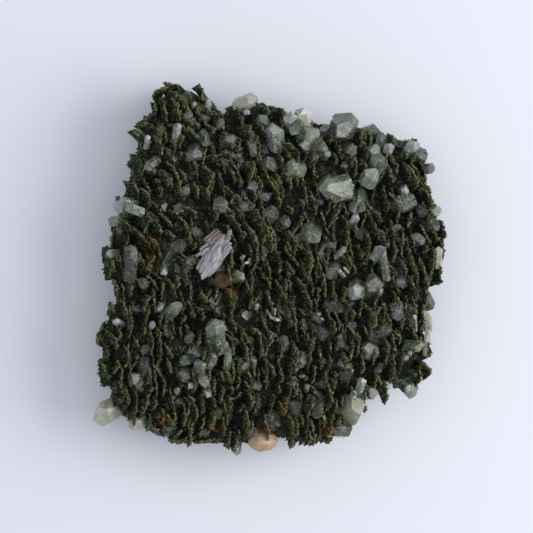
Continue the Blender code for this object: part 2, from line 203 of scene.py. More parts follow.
# Swells and pits of the matrix: place on the grid, radius and height in millimetres
Swell = namedtuple("Swell", "x y radius height")
SWELLS = [
    Swell(205, 352, 9.5, 6.0),
    Swell(165, 112, 9.0, 2.0),
    Swell(150, 255, 9.0, 1.2),
    Swell(330, 150, 11.0, 1.4),
    Swell(220, 290, 6.0, 1.6),
    Swell(300, 260, 13.0, -1.4),
    Swell(268, 268, 5.5, -3.2),
    Swell(177, 348, 3.2, -7.0),
    Swell(211, 226, 2.6, -4.5),
    Swell(393, 283, 3.2, -4.5),
    Swell(341, 411, 3.0, -4.0),
    Swell(132, 352, 4.0, -3.0),
    Swell(395, 392, 3.0, -4.0),
]

# Quartz crystals: the middle on the grid, then in millimetres the radius, the whole length and
# the height of the highest point over the matrix, then the lean and its heading in degrees, and
# the look: c clear, m milky, g green-tinted, p pale green, d dark and deep
Crystal = namedtuple("Crystal", "x y radius length rise lean heading look")
CRYSTALS = [
    # top edge
    Crystal(188, 97, 2.7, 7.5, 7.0, 28, 50, "d"),
    Crystal(208, 104, 1.4, 5.0, 6.0, 25, 100, "m"),
    Crystal(248, 101, 2.5, 8.0, 6.0, 62, 20, "p"),
    Crystal(204, 118, 1.6, 6.0, 5.0, 20, 30, "c"),
    Crystal(275, 134, 2.4, 9.5, 7.2, 52, 95, "m"),
    Crystal(292, 119, 2.5, 7.0, 6.6, 50, 100, "m"),
    Crystal(304, 122, 2.4, 7.0, 6.4, 40, 60, "p"),
    Crystal(312, 134, 2.8, 8.0, 6.8, 45, 20, "g"),
    Crystal(305, 145, 2.1, 6.0, 5.8, 45, 200, "m"),
    Crystal(341, 132, 4.1, 10.0, 7.4, 32, 250, "c"),
    Crystal(388, 150, 1.6, 6.5, 5.8, 20, 60, "m"),
    Crystal(414, 146, 2.8, 7.5, 6.2, 45, 60, "m"),
    Crystal(423, 155, 2.5, 7.0, 5.8, 40, 10, "c"),
    Crystal(429, 168, 1.4, 6.0, 5.0, 40, 0, "c"),
    # upper left
    Crystal(177, 131, 1.3, 6.5, 6.0, 50, 80, "m"),
    Crystal(158, 140, 2.0, 6.0, 3.6, 10, 140, "d"),
    Crystal(195, 154, 2.5, 8.0, 6.8, 30, 260, "c"),
    Crystal(193, 173, 2.0, 6.0, 3.6, 10, 0, "d"),
    Crystal(160, 206, 2.2, 6.0, 3.4, 10, 180, "d"),
    Crystal(121, 206, 2.8, 8.5, 6.6, 55, 170, "m"),
    Crystal(135, 210, 2.2, 8.0, 6.2, 55, -20, "m"),
    Crystal(114, 221, 1.7, 6.0, 5.2, 40, 190, "g"),
    Crystal(220, 205, 2.3, 8.0, 6.4, 20, 270, "c"),
    Crystal(236, 158, 1.9, 6.0, 4.0, 10, 90, "c"),
    Crystal(244, 205, 1.8, 6.0, 4.6, 20, 30, "c"),
    Crystal(188, 268, 1.6, 6.0, 5.4, 10, 240, "c"),
    Crystal(130, 260, 2.7, 11.5, 6.6, 64, 85, "d"),
    Crystal(167, 257, 5.2, 10.0, 7.4, 24, 80, "d"),
    # centre and right
    Crystal(269, 164, 2.2, 7.0, 5.6, 20, 150, "c"),
    Crystal(292, 167, 2.5, 8.0, 6.2, 8, 0, "g"),
    Crystal(326, 187, 3.8, 10.0, 7.4, 45, 190, "g"),
    Crystal(371, 175, 2.3, 6.5, 7.0, 60, 60, "m"),
    Crystal(379, 163, 2.2, 7.0, 6.4, 50, 80, "c"),
    Crystal(404, 191, 1.4, 6.5, 6.8, 30, 80, "m"),
    Crystal(408, 204, 3.1, 8.0, 6.8, 52, 0, "c"),
    Crystal(421, 211, 1.9, 7.0, 5.4, 20, 330, "d"),
    Crystal(436, 211, 1.4, 6.0, 5.4, 45, 10, "m"),
    Crystal(357, 207, 2.1, 7.0, 5.6, 15, 100, "g"),
    Crystal(271, 214, 2.4, 7.0, 5.4, 15, 60, "c"),
    Crystal(316, 233, 3.3, 7.0, 6.0, 40, 0, "g"),
    Crystal(418, 240, 2.0, 7.0, 5.6, 25, 20, "c"),
    Crystal(384, 262, 1.7, 10.5, 7.4, 68, 100, "c"),
    Crystal(356, 291, 2.6, 8.0, 7.2, 22, 260, "m"),
    Crystal(373, 284, 3.0, 9.0, 6.6, 40, 60, "c"),
    Crystal(403, 281, 2.2, 7.0, 5.2, 15, 30, "m"),
    Crystal(397, 311, 2.8, 8.0, 6.4, 14, 10, "c"),
    Crystal(331, 306, 2.3, 8.0, 5.4, 25, 90, "d"),
    Crystal(350, 325, 2.1, 7.0, 5.0, 25, 100, "d"),
    Crystal(322, 333, 2.8, 7.0, 4.8, 12, 60, "c"),
    Crystal(283, 343, 2.3, 7.0, 4.6, 10, 0, "c"),
    # lower right
    Crystal(370, 352, 2.5, 7.5, 5.4, 15, 300, "g"),
    Crystal(379, 368, 1.7, 6.0, 5.0, 15, 300, "d"),
    Crystal(417, 346, 1.9, 7.0, 5.8, 60, 0, "g"),
    Crystal(428, 341, 1.5, 8.5, 5.2, 66, 85, "p"),
    Crystal(294, 383, 1.5, 6.0, 5.6, 20, 120, "c"),
    Crystal(361, 385, 1.2, 7.0, 6.4, 45, 75, "m"),
    Crystal(372, 393, 1.7, 6.5, 5.4, 25, 320, "m"),
    Crystal(356, 414, 4.6, 11.0, 9.4, 34, -40, "p"),
    # lower left
    Crystal(144, 284, 1.6, 6.0, 5.0, 15, 90, "c"),
    Crystal(137, 310, 1.7, 6.0, 4.4, 10, 90, "d"),
    Crystal(173, 311, 1.7, 8.5, 6.2, 58, 42, "g"),
    Crystal(146, 350, 1.9, 6.5, 5.0, 25, 0, "d"),
    Crystal(134, 379, 1.9, 7.0, 5.6, 20, 120, "m"),
    Crystal(216, 333, 2.5, 11.5, 6.8, 66, 95, "c"),
    Crystal(191, 338, 1.8, 6.5, 5.0, 20, 150, "d"),
    Crystal(200, 367, 1.6, 7.5, 5.8, 50, 80, "c"),
    Crystal(184, 375, 2.1, 7.5, 5.6, 30, 260, "c"),
    Crystal(228, 357, 1.5, 9.5, 5.2, 62, 85, "g"),
    Crystal(243, 316, 2.2, 6.0, 4.6, 15, 180, "d"),
    Crystal(101, 415, 2.9, 9.0, 0.5, 66, 205, "p"),
    Crystal(136, 424, 2.5, 8.0, 4.6, 50, 230, "p"),
    Crystal(237, 449, 1.5, 6.0, 2.4, 50, 270, "m"),
    # those that only the looks have
    Crystal(345, 189, 3.2, 8.0, 6.2, 66, 20, "g"),
    Crystal(334, 191, 3.4, 10.0, 7.2, 70, 195, "g"),
    Crystal(263, 121, 1.9, 6.0, 5.4, 48, 120, "c"),
    Crystal(322, 150, 1.9, 6.0, 5.4, 61, 300, "c"),
    Crystal(294, 130, 1.9, 6.0, 5.6, 58, 240, "c"),
    Crystal(303, 116, 2.3, 6.5, 6.0, 60, 80, "p"),
    Crystal(361, 203, 2.0, 7.5, 6.0, 55, 265, "c"),
    Crystal(298, 169, 2.6, 7.5, 5.8, 51, 20, "g"),
    Crystal(374, 152, 1.6, 6.5, 5.6, 45, 95, "g"),
    Crystal(350, 150, 1.8, 6.0, 5.0, 56, 30, "c"),
    Crystal(435, 225, 1.8, 6.0, 5.0, 45, 10, "c"),
    Crystal(378, 252, 1.4, 5.5, 6.2, 66, 60, "m"),
    Crystal(341, 252, 1.0, 5.0, 6.4, 60, 45, "m"),
    Crystal(150, 165, 1.8, 6.0, 4.6, 56, 220, "c"),
    Crystal(185, 190, 1.8, 6.0, 4.4, 45, 20, "c"),
    Crystal(205, 140, 1.6, 6.0, 5.0, 53, 300, "c"),
    Crystal(230, 140, 1.8, 6.0, 4.8, 40, 30, "c"),
    Crystal(252, 145, 1.6, 6.0, 4.6, 66, 100, "c"),
    Crystal(180, 208, 1.7, 6.0, 4.2, 40, 140, "d"),
    Crystal(252, 188, 2.2, 6.5, 4.8, 35, 200, "c"),
    Crystal(266, 196, 1.9, 6.0, 4.8, 45, 340, "c"),
    Crystal(285, 222, 1.8, 6.0, 4.4, 48, 30, "c"),
    Crystal(340, 340, 2.4, 7.0, 4.6, 43, 60, "d"),
    Crystal(318, 318, 2.0, 6.5, 4.6, 45, 120, "d"),
    Crystal(300, 360, 2.2, 6.5, 4.2, 43, 200, "g"),
    Crystal(385, 330, 2.3, 7.0, 4.8, 56, 20, "d"),
    Crystal(347, 372, 2.4, 7.0, 4.4, 30, 80, "d"),
    Crystal(318, 410, 2.4, 7.0, 4.6, 56, 260, "d"),
    Crystal(295, 408, 2.5, 7.0, 4.8, 40, 40, "d"),
    Crystal(270, 418, 2.6, 7.0, 4.8, 30, 120, "d"),
    Crystal(255, 385, 2.0, 6.5, 4.2, 56, 300, "d"),
    Crystal(196, 352, 1.9, 6.5, 5.6, 50, 180, "c"),
    Crystal(212, 358, 1.6, 6.0, 5.6, 58, 60, "c"),
    Crystal(186, 360, 1.6, 6.0, 5.4, 58, 200, "c"),
    Crystal(204, 380, 1.7, 6.0, 5.4, 50, 260, "g"),
    Crystal(222, 345, 1.6, 6.0, 5.4, 50, 40, "g"),
    Crystal(193, 385, 1.3, 5.5, 5.2, 40, 220, "m"),
    Crystal(194, 105, 0.8, 4.0, 6.4, 20, 60, "m"),
    Crystal(187, 117, 1.4, 6.0, 4.8, 28, 60, "c"),
    Crystal(219, 124, 1.5, 6.0, 5.2, 30, 30, "c"),
    Crystal(246, 111, 1.0, 5.0, 5.6, 20, 300, "m"),
    Crystal(375, 150, 1.4, 6.0, 5.0, 25, 90, "c"),
    Crystal(315, 157, 1.3, 6.0, 5.2, 15, 30, "c"),
    Crystal(327, 155, 0.9, 5.0, 6.2, 20, 60, "m"),
    Crystal(395, 228, 1.3, 6.0, 5.2, 20, 20, "c"),
    Crystal(196, 233, 1.5, 6.0, 5.0, 25, 120, "c"),
    Crystal(112, 254, 1.3, 6.0, 5.4, 35, 180, "m"),
    Crystal(331, 246, 1.6, 5.5, 4.2, 36, 90, "c"),
    Crystal(354, 220, 1.2, 5.5, 5.6, 50, 60, "m"),
    Crystal(439, 256, 1.3, 7.0, 5.0, 66, 85, "p"),
    Crystal(147, 141, 0.8, 5.0, 5.8, 50, 80, "m"),
    Crystal(159, 308, 1.2, 5.5, 4.8, 20, 40, "m"),
    Crystal(118, 323, 1.0, 5.0, 5.4, 35, 150, "m"),
    Crystal(152, 326, 0.9, 5.0, 5.4, 25, 60, "m"),
    Crystal(176, 391, 0.9, 5.0, 5.4, 10, 0, "m"),
    Crystal(207, 392, 1.3, 5.5, 5.2, 40, 270, "g"),
    Crystal(238, 276, 1.5, 5.5, 5.4, 46, 20, "g"),
    Crystal(322, 361, 1.2, 5.5, 5.0, 15, 20, "d"),
    Crystal(307, 388, 0.9, 5.0, 6.0, 20, 80, "m"),
    Crystal(354, 397, 1.4, 6.0, 5.4, 38, 90, "m"),
    Crystal(381, 292, 0.6, 4.5, 6.4, 20, 80, "m"),
    Crystal(415, 322, 0.9, 6.0, 5.6, 55, 95, "m"),
    Crystal(409, 354, 0.7, 5.0, 5.8, 20, 40, "m"),
    Crystal(405, 359, 0.7, 5.0, 5.8, 20, 40, "m"),
    Crystal(412, 391, 2.2, 6.5, 4.2, 40, 300, "g"),
    Crystal(409, 390, 0.9, 4.0, 5.4, 40, 100, "m"),
    Crystal(205, 433, 1.3, 5.5, 5.0, 20, 90, "d"),
    Crystal(164, 271, 1.0, 5.0, 6.2, 25, 270, "m"),
    Crystal(190, 261, 1.5, 5.0, 6.2, 50, 200, "d"),
    Crystal(229, 249, 0.7, 4.0, 6.4, 82, 330, "c"),
    Crystal(413, 376, 2.4, 7.0, 3.6, 30, 300, "d"),
    Crystal(428, 320, 1.2, 7.0, 4.6, 66, 95, "p"),
    # bright slivers: tiny milky crystals set where pale splinters and bright glints show, partly stand-ins
    # for highlights
    Crystal(269, 314, 0.4, 2.9, 6.0, 86, 305, "m"),
    Crystal(275, 319, 0.6, 3.0, 6.0, 86, 340, "m"),
    Crystal(275, 311, 0.4, 2.2, 6.2, 86, 85, "m"),
    Crystal(257, 306, 0.5, 2.0, 6.2, 60, 80, "m"),
    Crystal(319, 314, 0.4, 1.4, 6.0, 50, 40, "m"),
    Crystal(322, 319, 0.4, 1.4, 6.0, 50, 140, "m"),
    Crystal(303, 376, 0.4, 1.6, 6.2, 50, 20, "m"),
    Crystal(243, 257, 0.4, 1.8, 6.2, 70, 30, "m"),
    Crystal(249, 260, 0.3, 1.6, 6.2, 70, 60, "m"),
    Crystal(246, 263, 0.4, 1.5, 6.2, 60, 200, "m"),
    Crystal(341, 273, 0.5, 3.2, 6.2, 84, 130, "m"),
    Crystal(346, 270, 0.4, 2.6, 6.2, 84, 130, "m"),
    Crystal(359, 201, 0.6, 2.0, 7.8, 50, 60, "m"),
]

# Bladed crystal: its two ends on the grid, then sizes in metres
PEARLY_START = (228, 233)
PEARLY_END = (199, 281)
PEARLY_LEAVES = 18
PEARLY_LEAF = 0.0010
PEARLY_WIDTH = 0.0046
PEARLY_DROP = 0.0008
PEARLY_RISE = 0.0070
LEAF_PLAN = ((-0.5, 0.0), (-0.36, -0.5), (0.28, -0.5), (0.5, -0.15), (0.38, 0.5), (-0.42, 0.5))
PEARLY_BODY = (0.0050, 0.0020, 0.0015)
# Its single splinters: foot and tip on the grid, width, and white or brown
SINGLE_LEAVES = (
    (203, 240, 218, 228, 0.00060, 0.10), (205, 242, 220, 230, 0.00060, 0.25),
    (206, 243, 221, 232, 0.00050, 0.0), (208, 244, 222, 233, 0.00060, 0.20),
    (195, 256, 206, 248, 0.00070, 0.30), (199, 255, 209, 247, 0.00060, 1.0),
    (199, 250, 208, 243, 0.00050, 1.0), (222, 253, 232, 246, 0.00070, 1.0),
    (223, 250, 231, 242, 0.00070, 0.9), (226, 240, 230, 229, 0.00110, 0.45),
)

# Amber crystal and the stone at the lower edge
AMBER = Crystal(222, 281, 2.2, 6.5, 6.0, 12, 300, "a")
STONE_PLACE = (263, 443)
STONE_SIZE = (0.0042, 0.0031, 0.0044)
STONE_LEVEL = 0.0185
STONE_SIDES = 14
STONE_CUT = 0.84
AMBER_SWELL = 1.18
AMBER_HEART = (0.3, 0.3)
AMBER_SIDES = (
    (1.15, 0.45, 0.1), (-1.2, 0.2, 0.1), (0.25, 1.2, 0.2), (-0.35, -1.2, 0.1), (0.9, -0.9, 0.2),
    (0.0, 0.1, 1.35),
)

# Blades that stand out past the outline: place on the grid, height, strike, lean and length
FINS = (
    (379, 393, 0.0150, 72.0, 22.0, 0.0085), (398, 385, 0.0145, 50.0, 12.0, 0.0080),
    (420, 370, 0.0150, 85.0, 20.0, 0.0070), (416, 378, 0.0145, 140.0, 14.0, 0.0070),
    (423, 348, 0.0140, 88.0, 18.0, 0.0080),
    (172, 88, 0.0165, 20.0, 10.0, 0.0075), (163, 92, 0.0165, 120.0, -10.0, 0.0070),
    (199, 94, 0.0170, 40.0, 10.0, 0.0060), (437, 232, 0.0140, 85.0, 20.0, 0.0090),
    (437, 250, 0.0150, 95.0, 20.0, 0.0090), (434, 272, 0.0140, 85.0, 20.0, 0.0090),
    (150, 432, 0.0140, 20.0, 10.0, 0.0080), (180, 443, 0.0140, 5.0, 5.0, 0.0080),
    (205, 443, 0.0150, 10.0, 5.0, 0.0080), (104, 335, 0.0140, 90.0, -15.0, 0.0080),
)

# Patches of paler grains, and rust stains: place on the grid and radius in millimetres
PALE = [
    (222, 372, 4.0), (236, 296, 5.0), (228, 345, 3.0), (208, 388, 3.5), (160, 215, 3.0),
    (300, 215, 4.0), (292, 250, 3.5), (246, 232, 3.0),
]
RUST = [
    (135, 272, 2.0), (150, 243, 1.8), (153, 262, 2.2), (167, 265, 1.6), (162, 420, 2.6),
    (212, 428, 1.4), (190, 428, 1.6), (290, 410, 3.0), (330, 434, 2.4), (265, 178, 1.4),
    (134, 385, 1.8), (201, 376, 1.2), (230, 290, 1.4), (262, 438, 3.0), (224, 199, 0.9),
]


def place(x, y, z=0.0):
    """A point of the layout grid in metres, at height z."""
    return Vector(((x - GRID_CENTRE[0]) * STEP, (GRID_CENTRE[1] - y) * STEP, z))


RIM = [place(x, y) for x, y in OUTLINE]
RIM_MIDDLE = sum(RIM, Vector()) / len(RIM)


def is_inside(point):
    """Whether a point lies inside the outline, seen from above."""
    inside = False
    for here, after in zip(RIM, RIM[1:] + RIM[:1]):
        if (here.y > point.y) != (after.y > point.y):
            crossing = here.x + (point.y - here.y) * (after.x - here.x) / (after.y - here.y)
            if point.x < crossing:
                inside = not inside
    return inside


def rim_distance(point):
    """How far a point is from the outline, seen from above."""
    nearest = math.inf
    flat = Vector((point.x, point.y, 0.0))
    for here, after in zip(RIM, RIM[1:] + RIM[:1]):
        edge = after - here
        share = max(0.0, min(1.0, (flat - here).dot(edge) / edge.length_squared))
        nearest = min(nearest, (flat - here - edge * share).length)
    return nearest


def matrix_height(point):
    """The height of the matrix surface under the blades."""
    fall = max(0.0, 1.0 - rim_distance(point) / RIM_BAND)
    height = MATRIX_TOP - RIM_DROP * fall * fall
    for swell in SWELLS:
        middle = place(swell.x, swell.y)
        reach = Vector((point.x - middle.x, point.y - middle.y)).length / (swell.radius * 0.001)
        height += swell.height * 0.001 * math.exp(-reach * reach)
    return height + 0.0007 * noise.noise(Vector((point.x, point.y, 0.0)) * 140.0)


def rim_distances(points):
    """rim_distance for an array of points."""
    nearest = np.full(len(points), np.inf)
    for here, after in zip(RIM, RIM[1:] + RIM[:1]):
        start = np.array(here.xy)
        edge = np.array((after - here).xy)
        share = ((points[:, :2] - start) @ edge / (edge @ edge)).clip(0.0, 1.0)
        gap = points[:, :2] - start - share[:, None] * edge
        nearest = np.minimum(nearest, np.hypot(gap[:, 0], gap[:, 1]))
    return nearest


def matrix_heights(points):
    """matrix_height without its small noise, for an array of points."""
    fall = (1.0 - rim_distances(points) / RIM_BAND).clip(0.0, None)
    heights = MATRIX_TOP - RIM_DROP * fall * fall
    for swell in SWELLS:
        gap = (points[:, :2] - np.array(place(swell.x, swell.y).xy)) / (swell.radius * 0.001)
        heights += swell.height * 0.001 * np.exp(-(gap * gap).sum(axis=1))
    return heights


def strike_at(point):
    """The blades' strike at a point, in radians, from the nearest places that name one."""
    total = 0.0
    weights = 0.0
    for x, y, degrees in STRIKES:
        weight = 1.0 / ((point - place(x, y)).xy.length + 0.004) ** 3
        total += degrees * weight
        weights += weight
    return math.radians(total / weights)


def object_of(name, bm):
    mesh = bpy.data.meshes.new(name)
    bm.to_mesh(mesh)
    bm.free()
    obj = bpy.data.objects.new(name, mesh)
    bpy.context.scene.collection.objects.link(obj)
    return obj


def frame_of(along, upward, at):
    """The matrix that carries local X along a direction and local Z near another."""
    side = upward.cross(along).normalized()
    top = along.cross(side).normalized()
    turn = Matrix((along.normalized(), side, top)).transposed()
    return Matrix.Translation(at) @ turn.to_4x4()


# Matrix and blades

def add_matrix(bm):
    """The broken plate under the blades: rings from the middle of its top to its underside."""
    rings = []
    for share in TOP_RINGS:
        ring = []
        for corner in RIM:
            point = RIM_MIDDLE.lerp(corner, share)
            ring.append(bm.verts.new((point.x, point.y, matrix_height(point))))
        rings.append(ring)
    for share, inset in SIDE_RINGS:
        ring = []
        for corner in RIM:
            inward = (RIM_MIDDLE - corner).normalized()
            rough = noise.noise(Vector((corner.x, corner.y, share * LUMP_LIFT)) * LUMPS_PER_METRE)
            point = corner + inward * max(LEAST_INSET, inset + SIDE_ROUGHNESS * rough)
            ring.append(bm.verts.new((point.x, point.y, MATRIX_TOP * share)))
        rings.append(ring)
    top = bm.verts.new((RIM_MIDDLE.x, RIM_MIDDLE.y, matrix_height(RIM_MIDDLE)))
    count = len(RIM)
    for number in range(count):
        after = (number + 1) % count
        bm.faces.new((top, rings[0][number], rings[0][after]))
        for upper, lower in zip(rings, rings[1:]):
            bm.faces.new((upper[number], lower[number], lower[after], upper[after]))
    bm.faces.new(rings[-1])


Blade = namedtuple("Blade", "strike lean length height thickness slope shift")


def blade_axes(blade):
    """The directions along a blade's strike and up its leaning face."""
    along = Vector((math.cos(blade.strike), -math.sin(blade.strike), 0.0))
    across = Vector((math.sin(blade.strike), math.cos(blade.strike), 0.0))
    return along, across * math.sin(blade.lean) + Vector((0.0, 0.0, math.cos(blade.lean)))


def fitted(point, blade, buried):
    """The blade stood up, and then shortened, until its crest stays over the plate."""
    while blade.length > MIN_BLADE_LENGTH:
        along, upward = blade_axes(blade)
        crest = point + upward * (blade.height - buried)
        half = along * 0.5 * CREST_LENGTH * blade.length
        if is_inside(crest + half) and is_inside(crest - half):
            return blade
        if blade.lean > 0.1:
            blade = blade._replace(lean=blade.lean * 0.5)
        else:
            blade = blade._replace(length=blade.length * 0.8)
    return None


def is_taken(point, share, margin):
    """Whether a crystal stands where a blade would."""
    if margin == 0.0 and (place(*STONE_PLACE) - point).xy.length < STONE_SIZE[0]:
        return True
    for crystal in CRYSTALS + [AMBER]:
        gap = (place(crystal.x, crystal.y) - point).xy.length
        if gap < crystal.radius * 0.001 * share + margin:
            return True
    return False


def blade_places(rng, step_across, step_along, jitter):
    """Places over the plate on a jittered lattice, every second row set off by half a step."""
    across = int(PLATE_WIDTH / step_across) // 2 + 1
    along = int(1.1 * PLATE_WIDTH / step_along) // 2 + 1
    for column in range(-across, across + 1):
        for row in range(-along, along + 1):
            shift = 0.5 * (column % 2)
            x = (column + rng.uniform(-jitter, jitter)) * step_across
            y = (row + shift + rng.uniform(-jitter, jitter)) * step_along
            yield Vector((x, y, 0.0))


Growth = namedtuple("Growth", "across along jitter turn tilt size length clearance buried")
LARGE_GROWTH = Growth(
    BLADE_STEP_ACROSS, BLADE_STEP_ALONG, 0.22, 8.0, 6.0, 1.0, (0.7, 1.2), (0.75, 0.0009), BLADE_BURIED
)
FINE_GROWTH = Growth(0.0027, 0.0054, 0.45, 13.0, 13.0, 0.62, (0.35, 1.25), (0.62, 0.0), 0.0014)


def top_blades(rng, growth):
    """(foot, blade) for each blade of one kind of growth on the top."""
    for point in blade_places(rng, growth.across, growth.along, growth.jitter):
        wobble = math.radians(rng.uniform(-growth.turn, growth.turn))
        tilt = rng.uniform(-growth.tilt, growth.tilt)
        blade = Blade(
            strike=strike_at(point) + wobble,
            lean=0.0,
            length=BLADE_LENGTH * rng.uniform(*growth.length),
            height=BLADE_HEIGHT * growth.size * rng.uniform(0.85, 1.12),
            thickness=BLADE_THICKNESS * growth.size * rng.uniform(0.8, 1.2),
            slope=rng.uniform(-0.14, 0.14),
            shift=rng.uniform(-0.12, 0.12),
        )
        if not is_inside(point) or is_taken(point, *growth.clearance):
            continue
        steep = max(LEAST_LEAN, UPRIGHT_STRIKE - math.degrees(blade.strike))
        lean = math.radians(steep + tilt)
        blade = fitted(point, blade._replace(lean=lean), growth.buried)
        if blade is None:
            continue
        foot = point - blade_axes(blade)[1] * growth.buried
        foot.z += matrix_height(point)
        yield foot, blade


def fins():
    """(foot, blade) for the blades that stand out past the outline at the lower right."""
    for x, y, level, strike, lean, length in FINS:
        blade = Blade(math.radians(strike), math.radians(lean), length, 0.0075, 0.0012, 0.0, 0.0)
        foot = place(x, y, level)
        yield foot, blade


def side_blades(rng):
    """(foot, blade) for the blades that show on the broken sides."""
    for course, level in enumerate(SIDE_LEVELS):
        for number in range(2 * course, len(RIM), SIDE_STEP):
            corner = RIM[number]
            outward = (corner - RIM_MIDDLE).normalized()
            strike = strike_at(corner) + math.radians(rng.uniform(-8.0, 8.0))
            faces_out = math.sin(strike) * outward.x + math.cos(strike) * outward.y
            blade = Blade(
                strike=strike,
                lean=math.radians(math.copysign(SIDE_LEAN, faces_out)),
                length=SIDE_BLADE_LENGTH * rng.uniform(0.8, 1.15),
                height=BLADE_HEIGHT,
                thickness=BLADE_THICKNESS * SIDE_BLADE_STOUTNESS,
                slope=rng.uniform(-0.15, 0.15),
                shift=0.0,
            )
            foot = corner - outward * rng.uniform(*SIDE_BLADE_DEPTH)
            foot.z = level + rng.uniform(-0.0015, 0.0015)
            yield foot, blade


def add_core(bm, foot, blade):
    """The lower part of a blade, which joins its thin plate to the matrix."""
    along, upward = blade_axes(blade)
    part = bmesh.new()
    bmesh.ops.create_cube(part, size=1.0)
    for vert in part.verts:
        is_crest = vert.co.z > 0.0
        vert.co.x *= blade.length * (CREST_LENGTH if is_crest else 1.0)
        vert.co.y *= blade.thickness * (CREST_THICKNESS if is_crest else FOOT_THICKNESS)
        vert.co.z = blade.height * CORE_HEIGHT if is_crest else 0.0
    part.transform(frame_of(along, upward, foot))
    mesh = bpy.data.meshes.new("core")
    part.to_mesh(mesh)
    part.free()
    bm.from_mesh(mesh)
    bpy.data.meshes.remove(mesh)


def numpy_points(mesh):
    points = np.empty(len(mesh.vertices) * 3, np.float32)
    mesh.vertices.foreach_get("co", points)
    return points.reshape(-1, 3).astype(float)


def with_modifier(obj, kind, **values):
    """Applies one modifier to a mesh object."""
    modifier = obj.modifiers.new(kind.lower(), kind)
    for key, value in values.items():
        setattr(modifier, key, value)
    bpy.context.view_layer.update()
    evaluated = obj.evaluated_get(bpy.context.evaluated_depsgraph_get())
    mesh = bpy.data.meshes.new_from_object(evaluated)
    old = obj.data
    obj.modifiers.clear()
    obj.data = mesh
    bpy.data.meshes.remove(old)
    return obj


def roughen(mesh):
    """Moves the skin's vertices in and out by a fine noise, but not on the underside."""
    points = numpy_points(mesh)
    normals = np.empty(len(points) * 3, np.float32)
    mesh.vertex_normals.foreach_get("vector", normals)
    rough = np.array([
        noise.noise(Vector(point) * 700.0) + 0.6 * noise.noise(Vector(point) * 1700.0)
        for point in points
    ])
    rough[points[:, 2] < UNDERSIDE_BAND] = 0.0
    points += normals.reshape(-1, 3) * (ROUGHNESS * rough)[:, None]
    mesh.vertices.foreach_set("co", points.astype(np.float32).ravel())
    mesh.update()


def make_crust(blades):
    """The matrix and the roots of its blades as one closed, rough skin."""
    bm = bmesh.new()
    add_matrix(bm)
    for foot, blade in blades:
        add_core(bm, foot, blade)
    bmesh.ops.recalc_face_normals(bm, faces=bm.faces)
    crust = object_of("epidote_crust", bm)
    with_modifier(crust, "REMESH", mode="VOXEL", voxel_size=VOXEL)
    roughen(crust.data)
    return crust


# Thin plates: each blade above its root, as a closed shell over a grid of rows and columns

def mesh_of(name, points, faces):
    """A mesh object from arrays of points and of faces that all have the same number of corners."""
    mesh = bpy.data.meshes.new(name)
    mesh.vertices.add(len(points))
    mesh.vertices.foreach_set("co", points.astype(np.float32).ravel())
    mesh.loops.add(faces.size)
    mesh.loops.foreach_set("vertex_index", faces.astype(np.int32).ravel())
    mesh.polygons.add(len(faces))
    mesh.polygons.foreach_set("loop_start", np.arange(0, faces.size, faces.shape[1], dtype=np.int32))
    mesh.update(calc_edges=True)
    mesh.shade_flat()
    obj = bpy.data.objects.new(name, mesh)
    bpy.context.scene.collection.objects.link(obj)
    return obj


def unwrap_in_cells(mesh, count, pattern):
    """A UV map that gives each of count like shapes its own square cell of the texture."""
    grid = math.ceil(math.sqrt(count))
    cells = np.stack(np.divmod(np.arange(count), grid), axis=1)
    corners = (cells[:, None] + CELL_MARGIN + pattern[None] * (1.0 - 2.0 * CELL_MARGIN)) / grid
    layer = mesh.uv_layers.new(name="OFBake")
    layer.data.foreach_set("uv", corners.astype(np.float32).ravel())


def foot_line(foot, blade):
    """Where a blade's foot runs: it follows the strike of the growth on both sides, in waves."""
    stride = blade.length / (PLATE_COLUMNS - 1)
    own_turn = blade.strike - strike_at(foot)
    halves = []
    for sense in (-1.0, 1.0):
        point = foot.copy()
        half = [(point.copy(), blade.strike)]
        for _ in range(PLATE_COLUMNS // 2):
            wave = STRIKE_WAVE * noise.noise(Vector((point.x, point.y, 0.0)) * WAVES_PER_METRE)
            strike = strike_at(point) + own_turn + wave
            here = matrix_height(point)
            point = point + Vector((math.cos(strike), -math.sin(strike), 0.0)) * sense * stride
            point.z += matrix_height(point) - here
            half.append((point.copy(), strike))
        halves.append(half)
    line = halves[0][:0:-1] + halves[1]
    return np.array([tuple(point) for point, strike in line]), np.array([strike for point, strike in line])


def plate_middle(foot, blade, rng):
    """A blade's middle surface as rows of points from its foot to its jagged crest, with the
    directions out of its face and up it at each column."""
    line, strikes = foot_line(foot, blade)
    along = np.stack([np.cos(strikes), -np.sin(strikes), 0.0 * strikes], axis=1)
    across = np.stack([np.sin(strikes), np.cos(strikes), 0.0 * strikes], axis=1)
    lean = blade.lean + LEAN_WAVE * rng.uniform(-1.0, 1.0) * np.linspace(-1.0, 1.0, PLATE_COLUMNS)
    upward = across * np.sin(lean)[:, None] + np.array((0.0, 0.0, 1.0)) * np.cos(lean)[:, None]
    side = np.cross(upward, along)
    column = np.linspace(-1.0, 1.0, PLATE_COLUMNS)
    steps = np.arange(PLATE_COLUMNS)
    rise = 1.0 + column * blade.slope - CREST_FALL * np.abs(column) ** 3
    swing = np.interp(steps, np.linspace(0, PLATE_COLUMNS - 1, 6), rng.uniform(-1.0, 1.0, 6))
    rise = rise + CREST_SWING * swing + rng.uniform(-CREST_JAG, CREST_JAG, PLATE_COLUMNS)
    points = np.empty((PLATE_ROWS, PLATE_COLUMNS, 3))
    for number, row in enumerate(np.linspace(0.0, 1.0, PLATE_ROWS)):
        width = 1.0 - (1.0 - CREST_LENGTH) * row ** 1.5 + rng.uniform(-0.04, 0.04)
        where = (column * width + blade.shift * row + 1.0) * 0.5 * (PLATE_COLUMNS - 1)
        base = np.stack([np.interp(where, steps, line[:, axis]) for axis in range(3)], axis=1)
        bend = rng.uniform(-0.3, 0.3, PLATE_COLUMNS) * row * blade.thickness
        points[number] = base + upward * (blade.height * row * rise)[:, None] + side * bend[:, None]
    return points, side, upward


